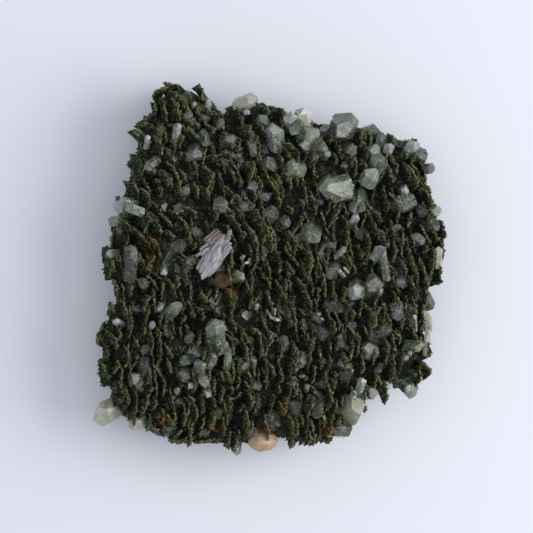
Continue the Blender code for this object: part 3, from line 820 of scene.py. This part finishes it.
def plate_half(blade, rng):
    """Half the plate's thickness over the same grid, nothing along its rim."""
    row = np.linspace(0.0, 1.0, PLATE_ROWS)[:, None]
    column = np.linspace(-1.0, 1.0, PLATE_COLUMNS)[None]
    half = 0.5 * blade.thickness * (1.0 - 0.6 * row) * (1.0 - column ** 6)
    half = half * rng.uniform(0.6, 1.4, (PLATE_ROWS, PLATE_COLUMNS))
    half[0] = half[-1] = 0.0
    half[:, 0] = half[:, -1] = 0.0
    return half


def plate_pattern():
    """The faces of one plate as vertex numbers, with their UV corners: the front, then the back."""
    rows, columns = PLATE_ROWS, PLATE_COLUMNS
    front = np.arange(rows * columns).reshape(rows, columns)
    back = front.copy()
    inner = (rows - 2) * (columns - 2)
    back[1:-1, 1:-1] = rows * columns + np.arange(inner).reshape(rows - 2, columns - 2)
    across, up = np.meshgrid(np.linspace(0.0, 1.0, columns), np.linspace(0.0, 1.0, rows))
    faces = []
    corners = []
    for row in range(rows - 1):
        for column in range(columns - 1):
            ring = ((row, column), (row, column + 1), (row + 1, column + 1), (row + 1, column))
            faces.append([front[spot] for spot in ring])
            corners += [(HALF_CELL * across[spot], up[spot]) for spot in ring]
            faces.append([back[spot] for spot in ring[::-1]])
            corners += [(1.0 - HALF_CELL * across[spot], up[spot]) for spot in ring[::-1]]
    return np.array(faces), np.array(corners)


class Plates:
    """All the thin plates: their grids as arrays, for their mesh and for the grains on them."""

    def __init__(self, blades, rng):
        grids = [plate_middle(foot, blade, rng) for foot, blade in blades]
        self.middles = np.array([grid[0] for grid in grids])
        self.sides = np.array([grid[1] for grid in grids])
        self.uprights = np.array([grid[2] for grid in grids])
        self.halves = np.array([plate_half(blade, rng) for foot, blade in blades])
        self.heights = np.array([blade.height for foot, blade in blades])
        self.areas = np.array([blade.height * blade.length for foot, blade in blades])
        self.tones = rng.random(len(blades))

    def mesh(self, name):
        faces, corners = plate_pattern()
        offset = self.halves[..., None] * self.sides[:, None]
        count = len(self.middles)
        front = (self.middles - offset).reshape(count, -1, 3)
        back = (self.middles + offset)[:, 1:-1, 1:-1].reshape(count, -1, 3)
        points = np.concatenate([front, back], axis=1)
        each = points.shape[1]
        faces = faces[None] + each * np.arange(count)[:, None, None]
        plates = mesh_of(name, points.reshape(-1, 3), faces.reshape(-1, 4))
        unwrap_in_cells(plates.data, count, corners)
        row = np.repeat(np.linspace(0.0, 1.0, PLATE_ROWS), PLATE_COLUMNS).reshape(PLATE_ROWS, -1)
        rows = np.concatenate([row.ravel(), row[1:-1, 1:-1].ravel()])
        crest = self.crest_share(np.arange(count)[:, None], rows[None]).ravel()
        mark_growth(plates.data, crest, np.repeat(0.4 + 0.2 * self.tones, each))
        return plates

    def crest_share(self, plate, row):
        """How near a place is to its plate's crest, from 0 to 1."""
        return np.exp(-((1.0 - row) * self.heights[plate] / CREST_REACH) ** 2)

    def scatter(self, count, lowest, rng):
        """Places over the plates' faces: points, outward axes, rows, crest shares and tones."""
        plate = rng.choice(len(self.areas), size=count, p=self.areas / self.areas.sum())
        row = lowest + (1.0 - lowest) * rng.random(count)
        column = rng.uniform(0.03, 0.97, count)
        hidden = np.where(rng.random(count) < HIDDEN_GRAINS, 1.0, -1.0)
        rows, columns = row * (PLATE_ROWS - 1), column * (PLATE_COLUMNS - 1)
        low_row = np.minimum(rows.astype(int), PLATE_ROWS - 2)
        low_column = np.minimum(columns.astype(int), PLATE_COLUMNS - 2)
        r, c = rows - low_row, columns - low_column
        point = np.zeros((count, 3))
        half = np.zeros(count)
        for up in (0, 1):
            for over in (0, 1):
                weight = (r if up else 1.0 - r) * (c if over else 1.0 - c)
                spot = (plate, low_row + up, low_column + over)
                point += weight[:, None] * self.middles[spot]
                half += weight * self.halves[spot]
        side = self.sides[plate, low_column] * hidden[:, None]
        crest = self.crest_share(plate, row)
        axis = side + self.uprights[plate, low_column] * (0.35 + crest)[:, None]
        return point + side * half[:, None], axis, row, crest, self.tones[plate]


# Druse: small crystals of epidote on every face

def spot_share(points, spots):
    """How near each point is to the middle of one of the spots, from 0 to 1."""
    share = np.zeros(len(points))
    for x, y, radius in spots:
        gap = (points[:, :2] - np.array(place(x, y).xy)) / (radius * 0.001)
        share = np.maximum(share, np.exp(-(gap * gap).sum(axis=1)))
    return share


def rust_share(points):
    """How rusty each point is, from 0 to 1; the foot of the plate has no rust."""
    return spot_share(points, RUST) * ((points[:, 2] - RUST_LEVEL) / RUST_LEVEL).clip(0.0, 1.0)


def set_numbers(mesh, name, values):
    layer = mesh.attributes.new(name, "FLOAT", "POINT")
    layer.data.foreach_set("value", np.asarray(values, np.float32))


def mark_growth(mesh, crest, tone):
    """Writes to each vertex what the epidote material reads."""
    points = numpy_points(mesh)
    # rise is the height over the matrix; the epidote look paints shade into the gaps from it, and near the
    # open edge it is lifted so that the rim gets no painted shade
    rise = (points[:, 2] - matrix_heights(points)) / (BLADE_HEIGHT - BLADE_BURIED)
    open_edge = 1.0 - rim_distances(points) / OPEN_EDGE
    set_numbers(mesh, "rise", np.maximum(rise, open_edge).clip(-1.0, 1.5))
    set_numbers(mesh, "rock", (ROCK_LEVEL - points[:, 2]) / ROCK_BAND)
    set_numbers(mesh, "crest", crest)
    set_numbers(mesh, "rust", rust_share(points))
    set_numbers(mesh, "tone", tone)


def unit(vectors):
    return vectors / np.linalg.norm(vectors, axis=1, keepdims=True).clip(1e-9, None)


def outside_crystals(points, crystals):
    """Which points lie in none of the quartz crystals, and not in the stone."""
    stone = (points - np.array(place(*STONE_PLACE, STONE_LEVEL))) / np.array(STONE_SIZE)
    clear = (stone * stone).sum(axis=1) > 1.15
    for crystal in crystals:
        gap = points - np.array(crystal_middle(crystal))
        axis = np.array(crystal_axis(crystal))
        along = (gap * axis).sum(axis=1)
        away = np.linalg.norm(gap - along[:, None] * axis, axis=1)
        clear &= (away > crystal.radius * 0.00088) | (abs(along) > crystal.length * 0.00046)
    return clear


def scattered(mesh, count, rng):
    """Points spread over the crust but not under it, with their faces' normals."""
    mesh.calc_loop_triangles()
    points = numpy_points(mesh)
    corners = np.empty(len(mesh.loop_triangles) * 3, np.int32)
    mesh.loop_triangles.foreach_get("vertices", corners)
    a, b, c = (points[corners.reshape(-1, 3)[:, number]] for number in range(3))
    cross = np.cross(b - a, c - a)
    weight = np.linalg.norm(cross, axis=1)
    height = (a[:, 2] + b[:, 2] + c[:, 2]) / 3.0
    normal = unit(cross)
    weight = weight * np.where(height > DRUSE_LEVEL, 1.0, SIDE_GRAINS)
    weight[(height < UNDERSIDE_BAND) | (normal[:, 2] < -0.75)] = 0.0
    chosen = rng.choice(len(weight), size=count, p=weight / weight.sum())
    u = rng.random((count, 1))
    v = rng.random((count, 1))
    flip = (u + v) > 1.0
    u = np.where(flip, 1.0 - u, u)
    v = np.where(flip, 1.0 - v, v)
    spots = a[chosen] + u * (b[chosen] - a[chosen]) + v * (c[chosen] - a[chosen])
    return spots, normal[chosen]


def grain_mesh(name, spots, axes, sizes, rng):
    """Small closed crystals with three upper and three lower faces, as one mesh."""
    count = len(spots)
    side = unit(np.cross(axes, unit(rng.normal(size=(count, 3)))))
    across = np.cross(axes, side)
    ring = []
    for third in range(3):
        angle = third * math.tau / 3.0
        out = side * math.cos(angle) + across * math.sin(angle)
        reach = sizes[:, None] * rng.uniform(0.30, 0.54, (count, 1))
        ring.append(spots + axes * sizes[:, None] * 0.25 + out * reach)
    peak = spots + axes * sizes[:, None] * rng.uniform(0.5, 1.25, (count, 1))
    root = spots - axes * sizes[:, None] * 0.3
    points = np.stack([*ring, peak, root], axis=1).reshape(-1, 3)
    faces = np.array([(0, 1, 3), (1, 2, 3), (2, 0, 3), (1, 0, 4), (2, 1, 4), (0, 2, 4)])
    flat = np.array([(0.0, 0.0), (1.0, 0.0), (0.5, 1.0), (0.5, 0.35), (0.5, 0.35)])
    corners = flat[faces] * (HALF_CELL, 1.0)
    corners[3:, :, 0] = 1.0 - corners[3:, :, 0]
    faces = (faces[None] + 5 * np.arange(count)[:, None, None]).reshape(-1, 3)
    grains = mesh_of(name, points, faces)
    unwrap_in_cells(grains.data, count, corners.reshape(-1, 2))
    return grains


def make_dust(pieces):
    """Patches of small epidote grains on the quartz crystals."""
    rng = np.random.default_rng(SEED + 1)
    spots = []
    axes = []
    for piece in pieces:
        here, normals = scattered(piece.data, DUST_GRAINS, rng)
        patch = np.array([noise.noise(Vector(point) * 260.0) for point in here])
        kept = patch > 0.3
        spots.append(here[kept])
        axes.append(normals[kept])
    spots = np.vstack(spots)
    axes = unit(np.vstack(axes) + rng.normal(scale=0.5, size=spots.shape))
    sizes = DUST_SIZE * rng.uniform(0.5, 1.4, len(spots))
    dust = grain_mesh("druse_on_quartz", spots, axes, sizes, rng)
    tone = 0.5 + 0.5 * rng.random(len(spots))
    # Dust grains get a little of the pale crest colour, which is partly painted highlight
    mark_growth(dust.data, np.full(len(spots) * 5, 0.15), np.repeat(tone, 5))
    return dust


def make_druse(crust, plates, crystals):
    """The sugary grains over plates and crust, in four quarters of the plate."""
    rng = np.random.default_rng(SEED)
    none = np.zeros(MATRIX_GRAINS)
    groups = (
        plates.scatter(PLATE_GRAINS, LOWEST_GRAIN, rng),
        plates.scatter(CREST_GRAINS, CREST_ROW, rng),
        (*scattered(crust.data, MATRIX_GRAINS, rng), none, none, none),
    )
    spots, axes, row, crest, tone = (np.concatenate(parts) for parts in zip(*groups))
    tone = 0.2 * tone + 0.8 * rng.random(len(tone)) + PALER * spot_share(spots, PALE)
    axes = unit(unit(axes) + rng.normal(scale=0.38, size=axes.shape))
    sizes = GRAIN * rng.uniform(0.5, 1.3, len(spots)) * (1.0 - CREST_FINENESS * row)
    clear = outside_crystals(spots, crystals)
    pieces = []
    for east in (0, 1):
        for north in (0, 1):
            here = clear & ((spots[:, 0] > 0.0) == east) & ((spots[:, 1] > 0.0) == north)
            name = "druse_" + ("north" if north else "south") + ("_east" if east else "_west")
            piece = grain_mesh(name, spots[here], axes[here], sizes[here], rng)
            mark_growth(piece.data, np.repeat(crest[here], 5), np.repeat(tone[here], 5))
            pieces.append(piece)
    return pieces


# Quartz

def crystal_axis(crystal):
    lean = math.radians(crystal.lean)
    heading = math.radians(crystal.heading)
    side = math.sin(lean)
    return Vector((side * math.cos(heading), side * math.sin(heading), math.cos(lean)))


def crystal_middle(crystal):
    """The middle of a crystal's whole length."""
    middle = place(crystal.x, crystal.y)
    lean = math.radians(crystal.lean)
    radius, length, rise = (value * 0.001 for value in (crystal.radius, crystal.length, crystal.rise))
    half_drop = 0.5 * length * math.cos(lean) + 0.5 * radius * math.sin(lean)
    middle.z = matrix_height(middle) + rise - half_drop
    return middle


def buried_crystals(rng):
    """Dark quartz that shows only between the blades, thicker on the right of the plate."""
    found = []
    while len(found) < BURIED_CRYSTALS:
        x, y = rng.uniform(100.0, 440.0), rng.uniform(95.0, 445.0)
        sparse = 0.45 if x + 0.5 * y < 330.0 else 1.0
        if not is_inside(place(x, y)) or rim_distance(place(x, y)) < 0.002 or rng.random() > sparse:
            continue
        radius = rng.uniform(1.6, 3.8)
        found.append(Crystal(
            x, y, radius, radius * 3.0, rng.uniform(1.6, 3.8), rng.uniform(5.0, 60.0),
            rng.uniform(0.0, 360.0), rng.choice("dddg"),
        ))
    return found


def quartz_planes(crystal, rng):
    """The planes of a six-sided prism with six uneven end faces, in units of its radius."""
    half = 0.5 * crystal.length / crystal.radius
    planes = [(Vector((0.0, 0.0, -1.0)), half)]
    start = rng.uniform(0.0, math.tau)
    squash = rng.uniform(0.62, 0.95)
    flat = rng.randrange(3)
    for number in range(6):
        angle = start + number * math.tau / 6.0 + rng.uniform(-0.10, 0.10)
        out = Vector((math.cos(angle), math.sin(angle), 0.0))
        width = squash if number % 3 == flat else 1.0
        planes.append((out, width * rng.uniform(0.80, 1.10)))
        slope = math.radians(rng.uniform(36.0, 60.0))
        face = out * math.sin(slope) + Vector((0.0, 0.0, math.cos(slope)))
        major = 0.0 if number % 2 else 0.6
        planes.append((face.normalized(), (half - major * rng.uniform(0.0, 1.2)) * math.cos(slope)))
    if rng.random() < 0.4:
        turn = rng.uniform(0.0, math.tau)
        tilt = rng.uniform(0.2, 1.1)
        cut = Vector((math.cos(turn) * tilt, math.sin(turn) * tilt, 1.0)).normalized()
        planes.append((cut, half * rng.uniform(0.70, 0.92)))
    return planes


def corners_of(planes):
    """The corners of the convex body that the planes bound."""
    corners = []
    for first, second, third in combinations(planes, 3):
        normals = Matrix((first[0], second[0], third[0]))
        if abs(normals.determinant()) < 1e-3:
            continue
        corner = normals.inverted() @ Vector((first[1], second[1], third[1]))
        if all(normal.dot(corner) <= distance + 1e-5 for normal, distance in planes):
            corners.append(corner)
    return corners


def add_quartz(bm, crystal, rng, tones, ends, facet_lights):
    """One worn, uneven quartz crystal, added to bm."""
    part = bmesh.new()
    for corner in corners_of(quartz_planes(crystal, rng)):
        part.verts.new(corner)
    bmesh.ops.remove_doubles(part, verts=part.verts, dist=0.02)
    hull = bmesh.ops.convex_hull(part, input=part.verts)
    bmesh.ops.delete(part, geom=hull["geom_unused"] + hull["geom_interior"], context="VERTS")
    bmesh.ops.dissolve_limit(part, angle_limit=0.03, verts=part.verts, edges=part.edges)
    bmesh.ops.bevel(part, geom=list(part.edges), offset=EDGE_WEAR, segments=1, affect="EDGES")
    bmesh.ops.recalc_face_normals(part, faces=part.faces)
    tone = rng.random()
    axis = crystal_axis(crystal)
    side = Vector((0.0, 0.0, 1.0)) if abs(axis.z) < 0.9 else Vector((1.0, 0.0, 0.0))
    across = side.cross(axis).normalized()
    turn = frame_of(across, axis, crystal_middle(crystal)) @ Matrix.Scale(crystal.radius * 0.001, 4)
    half = 0.5 * crystal.length / crystal.radius
    made = {}
    for vert in part.verts:
        new = bm.verts.new(turn @ vert.co)
        new[tones] = tone
        new[ends] = 0.5 + 0.5 * vert.co.z / half
        made[vert] = new
    for face in part.faces:
        new = bm.faces.new([made[vert] for vert in face.verts])
        # Painted facet shading: each larger facet gets a random brightness, and the small bevel faces full
        # brightness as painted edge highlights
        new[facet_lights] = rng.random() if face.calc_area() > LEAST_FACET else 1.0
    part.free()


def make_quartz(name, crystals, rng):
    bm = bmesh.new()
    facet_lights = bm.faces.layers.float.new("facet_light")
    tones = bm.verts.layers.float.new("tone")
    ends = bm.verts.layers.float.new("end")
    for crystal in crystals:
        add_quartz(bm, crystal, rng, tones, ends, facet_lights)
    return object_of(name, bm)


# The pearly blades, the amber grain and the stone

def add_leaf(whole, whites, foot, tip, width, roll, white):
    """A long flat splinter with pointed ends, added to whole."""
    length = (tip - foot).length
    part = bmesh.new()
    for along, across in LEAF_PLAN:
        part.verts.new((along * length, across * width, -PEARLY_LEAF))
        part.verts.new((along * length * 0.97, across * width * 0.7, 0.0))
    hull = bmesh.ops.convex_hull(part, input=part.verts)
    bmesh.ops.delete(part, geom=hull["geom_unused"] + hull["geom_interior"], context="VERTS")
    bmesh.ops.dissolve_limit(part, angle_limit=0.03, verts=part.verts, edges=part.edges)
    bmesh.ops.bevel(part, geom=list(part.edges), offset=0.00008, segments=1, affect="EDGES")
    part.transform(frame_of((tip - foot).normalized(), roll.normalized(), (tip + foot) * 0.5))
    made = {}
    for vert in part.verts:
        made[vert] = whole.verts.new(vert.co)
        made[vert][whites] = white
    for face in part.faces:
        whole.faces.new([made[vert] for vert in face.verts])
    part.free()


def make_pearly(rng):
    """The bladed white crystal: a sheaf of flat splinters around a smooth body, brown at one side."""
    top, bottom = place(*PEARLY_START), place(*PEARLY_END)
    along = (top - bottom).normalized()
    across = Vector((0.0, 0.0, 1.0)).cross(along)
    length = (top - bottom).length
    centre = (top + bottom) * 0.5
    level = matrix_height(centre) + PEARLY_RISE
    whole = bmesh.new()
    whites = whole.verts.layers.float.new("white")
    body = bmesh.ops.create_icosphere(whole, subdivisions=4, radius=1.0)
    turn = frame_of(along, Vector((0.0, 0.0, 1.0)), centre + Vector((0.0, 0.0, level - PEARLY_BODY[2])))
    for vert in body["verts"]:
        swell = 1.0 + 0.30 * noise.noise(vert.co * 1.6) + 0.14 * noise.noise(vert.co * 4.0)
        vert.co = turn @ Vector([part * size * swell for part, size in zip(vert.co, PEARLY_BODY)])
        vert[whites] = 0.95
    for number in range(PEARLY_LEAVES):
        share = 2.0 * (number // 2) / (PEARLY_LEAVES // 2 - 1) - 1.0
        reach = length * rng.uniform(0.30, 0.60)
        room = 0.5 * (length - reach) * (1.0 - 0.4 * abs(share))
        middle = centre - across * share * PEARLY_WIDTH * 0.5
        middle += along * (room if number % 2 else -room) * rng.uniform(0.6, 1.0)
        middle.z = level - PEARLY_DROP * (0.6 + share * share) - rng.uniform(0.0, 0.0006)
        turn = along + across * (rng.uniform(-0.16, 0.16) - 0.10 * share)
        turn.z = rng.uniform(-0.12, 0.12)
        half = turn.normalized() * reach * 0.5
        roll = Vector((0.0, 0.0, 1.0)) - across * (share * 0.5 + rng.uniform(-0.4, 0.4))
        width = PEARLY_LEAF * rng.uniform(1.2, 2.0)
        add_leaf(whole, whites, middle - half, middle + half, width, roll, rng.uniform(0.8, 1.0))
    for x, y, end_x, end_y, width, white in SINGLE_LEAVES:
        foot, tip = place(x, y, level), place(end_x, end_y, level)
        add_leaf(whole, whites, foot, tip, width, Vector((0.0, 0.0, 1.0)) + across * 0.5, white)
    bmesh.ops.recalc_face_normals(whole, faces=whole.faces)
    return object_of("pearly_blades", whole)


def make_amber():
    """A squat grain with rounded corners, darker to its upper right."""
    radius = AMBER.radius * 0.001
    bm = bmesh.new()
    centres = bm.verts.layers.float.new("centre")
    bmesh.ops.create_icosphere(bm, subdivisions=4, radius=1.0)
    for vert in bm.verts:
        away = (vert.co.xy - Vector(AMBER_HEART)).length
        vert[centres] = max(0.0, 1.1 - away) if vert.co.z > 0.0 else 0.0
        swell = 1.0 / max(1.0, *(vert.co.dot(Vector(side)) for side in AMBER_SIDES))
        swell += 0.08 * noise.noise(vert.co * 1.9) + 0.04 * noise.noise(vert.co * 5.0)
        vert.co = vert.co * swell * radius * AMBER_SWELL
    middle = place(AMBER.x, AMBER.y)
    middle.z = matrix_height(middle) + AMBER.rise * 0.001 - radius * AMBER_SWELL
    bm.transform(Matrix.Translation(middle))
    return object_of("amber_grain", bm)


def make_stone(rng):
    """A lump with worn flat sides."""
    bm = bmesh.new()
    bmesh.ops.create_icosphere(bm, subdivisions=5, radius=1.0)
    sides = [Vector([rng.gauss(0.0, 1.0) for _ in range(3)]).normalized() for _ in range(STONE_SIDES)]
    for vert in bm.verts:
        swell = min(STONE_CUT / max(0.1, vert.co.dot(side)) for side in sides)
        swell = min(1.0, swell) + 0.05 * noise.noise(vert.co * 2.5) + 0.02 * noise.noise(vert.co * 9.0)
        vert.co = Vector([part * swell * size for part, size in zip(vert.co, STONE_SIZE)])
    bm.transform(Matrix.Translation(place(*STONE_PLACE, STONE_LEVEL)))
    return object_of("rusty_stone", bm)


# Materials

class Look:
    """A material and its node tree, with short calls for the nodes that the looks share."""

    def __init__(self, name):
        self.material = bpy.data.materials.new(name)
        self.material.use_nodes = True
        self.tree = self.material.node_tree
        self.shader = self.tree.nodes["Principled BSDF"]
        self.place = self.node("ShaderNodeTexCoord").outputs["Object"]

    def node(self, kind, **links):
        """A new node, with sockets set to numbers or linked from other nodes."""
        node = self.tree.nodes.new("ShaderNode" + kind.removeprefix("ShaderNode"))
        for name, value in links.items():
            self.put(node.inputs[name.replace("_", " ")], value)
        return node

    def put(self, socket, value):
        if isinstance(value, bpy.types.NodeSocket):
            self.tree.links.new(value, socket)
        elif isinstance(value, tuple) and socket.type == "RGBA":
            socket.default_value = (*value, 1.0)
        else:
            socket.default_value = value

    def shade(self, **values):
        for name, value in values.items():
            self.put(self.shader.inputs[name.replace("_", " ")], value)

    def noise(self, scale, detail=3.0, place=None):
        node = self.node("TexNoise", Vector=place or self.place, Scale=scale, Detail=detail)
        return node.outputs["Fac"]

    def cells(self, scale):
        """Grains: how far a point is from its grain's middle, and a number for each grain."""
        node = self.node("TexVoronoi", Vector=self.place, Scale=scale)
        split = self.node("SeparateColor", Color=node.outputs["Color"])
        return node.outputs["Distance"], split.outputs["Red"]

    def number(self, name):
        node = self.node("Attribute")
        node.attribute_name = name
        return node.outputs["Fac"]

    def fit(self, source, low, high, to_low=0.0, to_high=1.0):
        """A smooth step of source between low and high."""
        node = self.node("MapRange", Value=source, From_Min=low, From_Max=high)
        node.interpolation_type = "SMOOTHSTEP"
        node.inputs["To Min"].default_value = to_low
        node.inputs["To Max"].default_value = to_high
        return node.outputs["Result"]

    def mix(self, share, first, second):
        node = self.node("MixRGB", Fac=share, Color1=first, Color2=second)
        return node.outputs["Color"]

    def times(self, first, second):
        node = self.node("Math")
        node.operation = "MULTIPLY"
        self.put(node.inputs[0], first)
        self.put(node.inputs[1], second)
        return node.outputs["Value"]

    def bump(self, height, strength, distance):
        node = self.node("Bump", Strength=strength, Distance=distance, Height=height)
        self.shade(Normal=node.outputs["Normal"])

    def absorb(self, colour, density):
        """Plain absorption inside a see-through body."""
        volume = self.node("VolumeAbsorption", Color=colour, Density=density)
        output = self.tree.nodes["Material Output"]
        self.tree.links.new(volume.outputs["Volume"], output.inputs["Volume"])


def epidote_look(name, grain_scale, gap_shade):
    """Painted shade near black in the gaps, dark green on the faces, with pale specks dimmed lower down by
    painted shade, and broken pale crests that are partly paler druse and partly painted highlight.
    """
    look = Look(name)
    distance, grain = look.cells(grain_scale)
    patch = look.fit(look.noise(160.0, 4.0), 0.38, 0.66)
    colour = look.mix(patch, DARK_GREEN, MID_GREEN)
    # Painted shade: the lower a place lies under the crests, by its rise, the nearer to near black it is
    # painted, up to the given strength
    colour = look.mix(look.fit(look.number("rise"), 0.8, 0.05, 0.0, gap_shade), colour, GAP_SHADE_AND_DARK_GRAIN)
    # Painted light: pale specks are full strength high up and dimmed lower down as painted shade
    lit = look.fit(look.number("rise"), 0.0, 0.9, 0.2, 1.0)
    colour = look.mix(look.times(look.fit(grain, 0.78, 0.93), lit), colour, OLIVE)
    colour = look.mix(look.times(look.fit(look.number("tone"), 0.66, 0.84), lit), colour, OLIVE)
    # Random dark grains, in the same near black as the painted shade
    colour = look.mix(look.fit(look.number("tone"), 0.42, 0.28, 0.0, 0.8), colour, GAP_SHADE_AND_DARK_GRAIN)
    # Pale crests: partly paler druse, partly a painted highlight along each crest
    broken = look.fit(look.noise(420.0, 3.0), 0.42, 0.56, 0.22, 1.0)
    edge = look.times(look.number("crest"), look.fit(grain, 0.1, 0.6, 0.25, 1.0))
    colour = look.mix(look.times(edge, broken), colour, CREST_OLIVE_AND_HIGHLIGHT)
    stone = look.mix(look.fit(look.noise(300.0, 5.0), 0.35, 0.65), ROCK_GREY, ROCK_GREEN)
    colour = look.mix(look.fit(look.number("rock"), 0.0, 1.0), colour, stone)
    rust = look.times(look.number("rust"), look.fit(look.noise(900.0), 0.46, 0.62))
    colour = look.mix(rust, colour, RUST_ORANGE)
    look.shade(Base_Color=colour, Roughness=0.5)
    look.shader.inputs["Specular IOR Level"].default_value = 0.22
    look.bump(look.fit(distance, 0.0, 0.9, 1.0, 0.0), 0.9, GRAIN_BUMP)
    return look.material


def quartz_look(kind):
    """Quartz with facets painted in uneven brightness as painted facet shading, small bevel faces painted
    bright as edge highlights, veils and cracks inside, and green feet.
    """
    look = Look(kind.name)
    cloud = look.fit(look.noise(250.0, 2.0), 0.36, 0.64, 0.55, 1.0)
    # The per-face number is painted facet shading, with painted highlights on the bevels
    facet_light = look.fit(look.number("facet_light"), 0.0, 1.0, 0.2, 1.0)
    tone = look.fit(look.number("tone"), 0.0, 1.0, 0.6, 1.0)
    share = look.times(cloud, look.times(facet_light, tone))
    colour = look.mix(share, kind.dark, kind.bright)
    ground = look.times(look.fit(look.noise(300.0, 3.0), 0.35, 0.65, 0.35, 1.0),
                        look.fit(look.number("end"), 0.85, 0.3, 0.0, 1.0))
    colour = look.mix(ground, colour, PALE_FOOT if kind.look == "p" else QUARTZ_FOOT)
    wisp = look.noise(520.0, 2.0)
    crack = look.times(look.fit(wisp, 0.46, 0.495), look.fit(wisp, 0.53, 0.495, 0.0, 0.6))
    colour = look.mix(crack, colour, QUARTZ_CRACK)
    rough = look.fit(look.noise(700.0), 0.3, 0.7, kind.roughness, kind.roughness + 0.25)
    look.shade(Base_Color=colour, Roughness=rough)
    look.shader.inputs["Transmission Weight"].default_value = kind.transmission
    look.shader.inputs["IOR"].default_value = QUARTZ_IOR
    look.bump(look.noise(900.0), 0.07, 0.0001)
    look.absorb(kind.absorbed, kind.density)
    return look.material


def pearly_look():
    """White and bluish splinters, tan-brown and streaked along the sheaf's upper left side."""
    look = Look("pearly")
    run = place(*PEARLY_START) - place(*PEARLY_END)
    turn = look.node("Mapping", Vector=look.place)
    turn.vector_type = "TEXTURE"
    turn.inputs["Rotation"].default_value = (0.0, 0.0, math.atan2(run.y, run.x))
    turn.inputs["Scale"].default_value = (12.0, 1.0, 1.0)
    streak = look.fit(look.noise(2600.0, 3.0, turn.outputs["Vector"]), 0.35, 0.65)
    brown = look.mix(streak, (0.12, 0.08, 0.055), (0.40, 0.32, 0.26))
    white = look.mix(streak, (0.27, 0.27, 0.285), (0.53, 0.53, 0.555))
    look.shade(Base_Color=look.mix(look.number("white"), brown, white), Roughness=0.28)
    look.shader.inputs["Transmission Weight"].default_value = 0.35
    look.bump(streak, 0.5, 0.00012)
    return look.material


def amber_look():
    look = Look("amber")
    cloud = look.fit(look.noise(700.0), 0.35, 0.65)
    rim = look.mix(cloud, (0.080, 0.056, 0.011), (0.036, 0.033, 0.008))
    look.shade(Base_Color=look.mix(look.number("centre"), rim, (0.035, 0.008, 0.003)), Roughness=0.5)
    look.shader.inputs["Specular IOR Level"].default_value = 0.2
    look.shader.inputs["Transmission Weight"].default_value = 0.2
    look.bump(look.noise(1600.0), 0.3, 0.00015)
    look.absorb((0.55, 0.25, 0.06), 150.0)
    return look.material


def stone_look():
    look = Look("rusty_stone")
    patch = look.fit(look.noise(330.0, 4.0), 0.4, 0.62)
    colour = look.mix(patch, (0.44, 0.36, 0.25), (0.36, 0.24, 0.12))
    look.shade(Base_Color=colour, Roughness=0.65)
    look.bump(look.noise(1500.0, 4.0), 0.5, 0.0003)
    return look.material


def dress(piece, material, slot):
    piece.data.materials.clear()
    piece.data.materials.append(material)
    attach(piece, "root")
    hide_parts(NODE)


# Floor, light and camera

def make_stage():
    bpy.ops.mesh.primitive_plane_add(size=3.0, location=(0.0, 0.0, 0.0))
    floor = bpy.context.object
    floor.name = "floor"
    look = Look("pale_floor")
    look.shade(Base_Color=look.mix(look.noise(6.0, 2.0), FLOOR_COLOUR, FLOOR_COLOUR_2), Roughness=0.85)
    floor.data.materials.append(look.material)


def add_light(name, place, size, power, colour):
    """A soft square light that faces the cluster."""
    data = bpy.data.lights.new(name, "AREA")
    data.shape = "SQUARE"
    data.size = size
    data.energy = power
    data.color = colour
    light = bpy.data.objects.new(name, data)
    light.location = place
    light.rotation_euler = (-Vector(place)).to_track_quat("-Z", "Y").to_euler()
    bpy.context.scene.collection.objects.link(light)


def make_studio():
    world = bpy.data.worlds.new("studio")
    world.use_nodes = True
    sky = world.node_tree.nodes["Background"]
    sky.inputs["Color"].default_value = (*SKY_COLOUR, 1.0)
    sky.inputs["Strength"].default_value = SKY_STRENGTH
    bpy.context.scene.world = world
    add_light("window", WINDOW_PLACE, WINDOW_SIZE, WINDOW_POWER, WINDOW_COLOUR)
    add_light("ceiling", (0.0, 0.0, LAMP_HEIGHT), LAMP_SIZE, LAMP_POWER, SKY_COLOUR)
    bpy.context.scene.view_settings.view_transform = "Standard"


def make_camera():
    """Straight down over the plate, so that the photo's frame is as wide at the crests as there."""
    data = bpy.data.cameras.new("camera")
    data.sensor_width = 36.0
    data.lens = data.sensor_width * CAMERA_DISTANCE / (PHOTO_SIDE * STEP)
    data.clip_start = 0.05
    data.clip_end = 10.0
    camera = bpy.data.objects.new("camera", data)
    camera.location = place(*PHOTO_CENTRE, CREST_LEVEL + CAMERA_DISTANCE)
    bpy.context.scene.collection.objects.link(camera)
    bpy.context.scene.camera = camera


def main():
    make_camera()
    make_studio()
    make_stage()
    rng = random.Random(SEED)
    large = list(top_blades(rng, LARGE_GROWTH))
    large += side_blades(rng)
    fine = list(top_blades(rng, FINE_GROWTH)) + list(fins())
    thin = [(foot, blade._replace(thickness=blade.thickness * PLATE_THINNESS)) for foot, blade in large]
    plates = Plates(thin + fine, np.random.default_rng(SEED))
    crystals = CRYSTALS + buried_crystals(rng)
    crust = make_crust(large)
    bare = np.zeros(len(crust.data.vertices))
    mark_growth(crust.data, bare, bare + 0.5)
    epidote = epidote_look("epidote", GRAINS_PER_METRE, 1.0)
    dress(crust, epidote, "epidote")
    dress(plates.mesh("epidote_plates"), epidote, "epidote")
    druse = epidote_look("epidote_druse", 2.0 * GRAINS_PER_METRE, 0.9)
    for piece in make_druse(crust, plates, crystals + [AMBER]):
        dress(piece, druse, "epidote")
    quartz = []
    for kind in QUARTZ_KINDS:
        chosen = [crystal for crystal in crystals if crystal.look == kind.look]
        piece = make_quartz(kind.name, chosen, rng)
        dress(piece, quartz_look(kind), kind.slot)
        quartz.append(piece)
    clean = ("pale_quartz",)
    dress(make_dust([piece for piece in quartz if piece.name not in clean]), druse, "epidote")
    dress(make_pearly(rng), pearly_look(), "pearly_blades")
    dress(make_amber(), amber_look(), "amber")
    dress(make_stone(rng), stone_look(), "rusty_stone")


main()
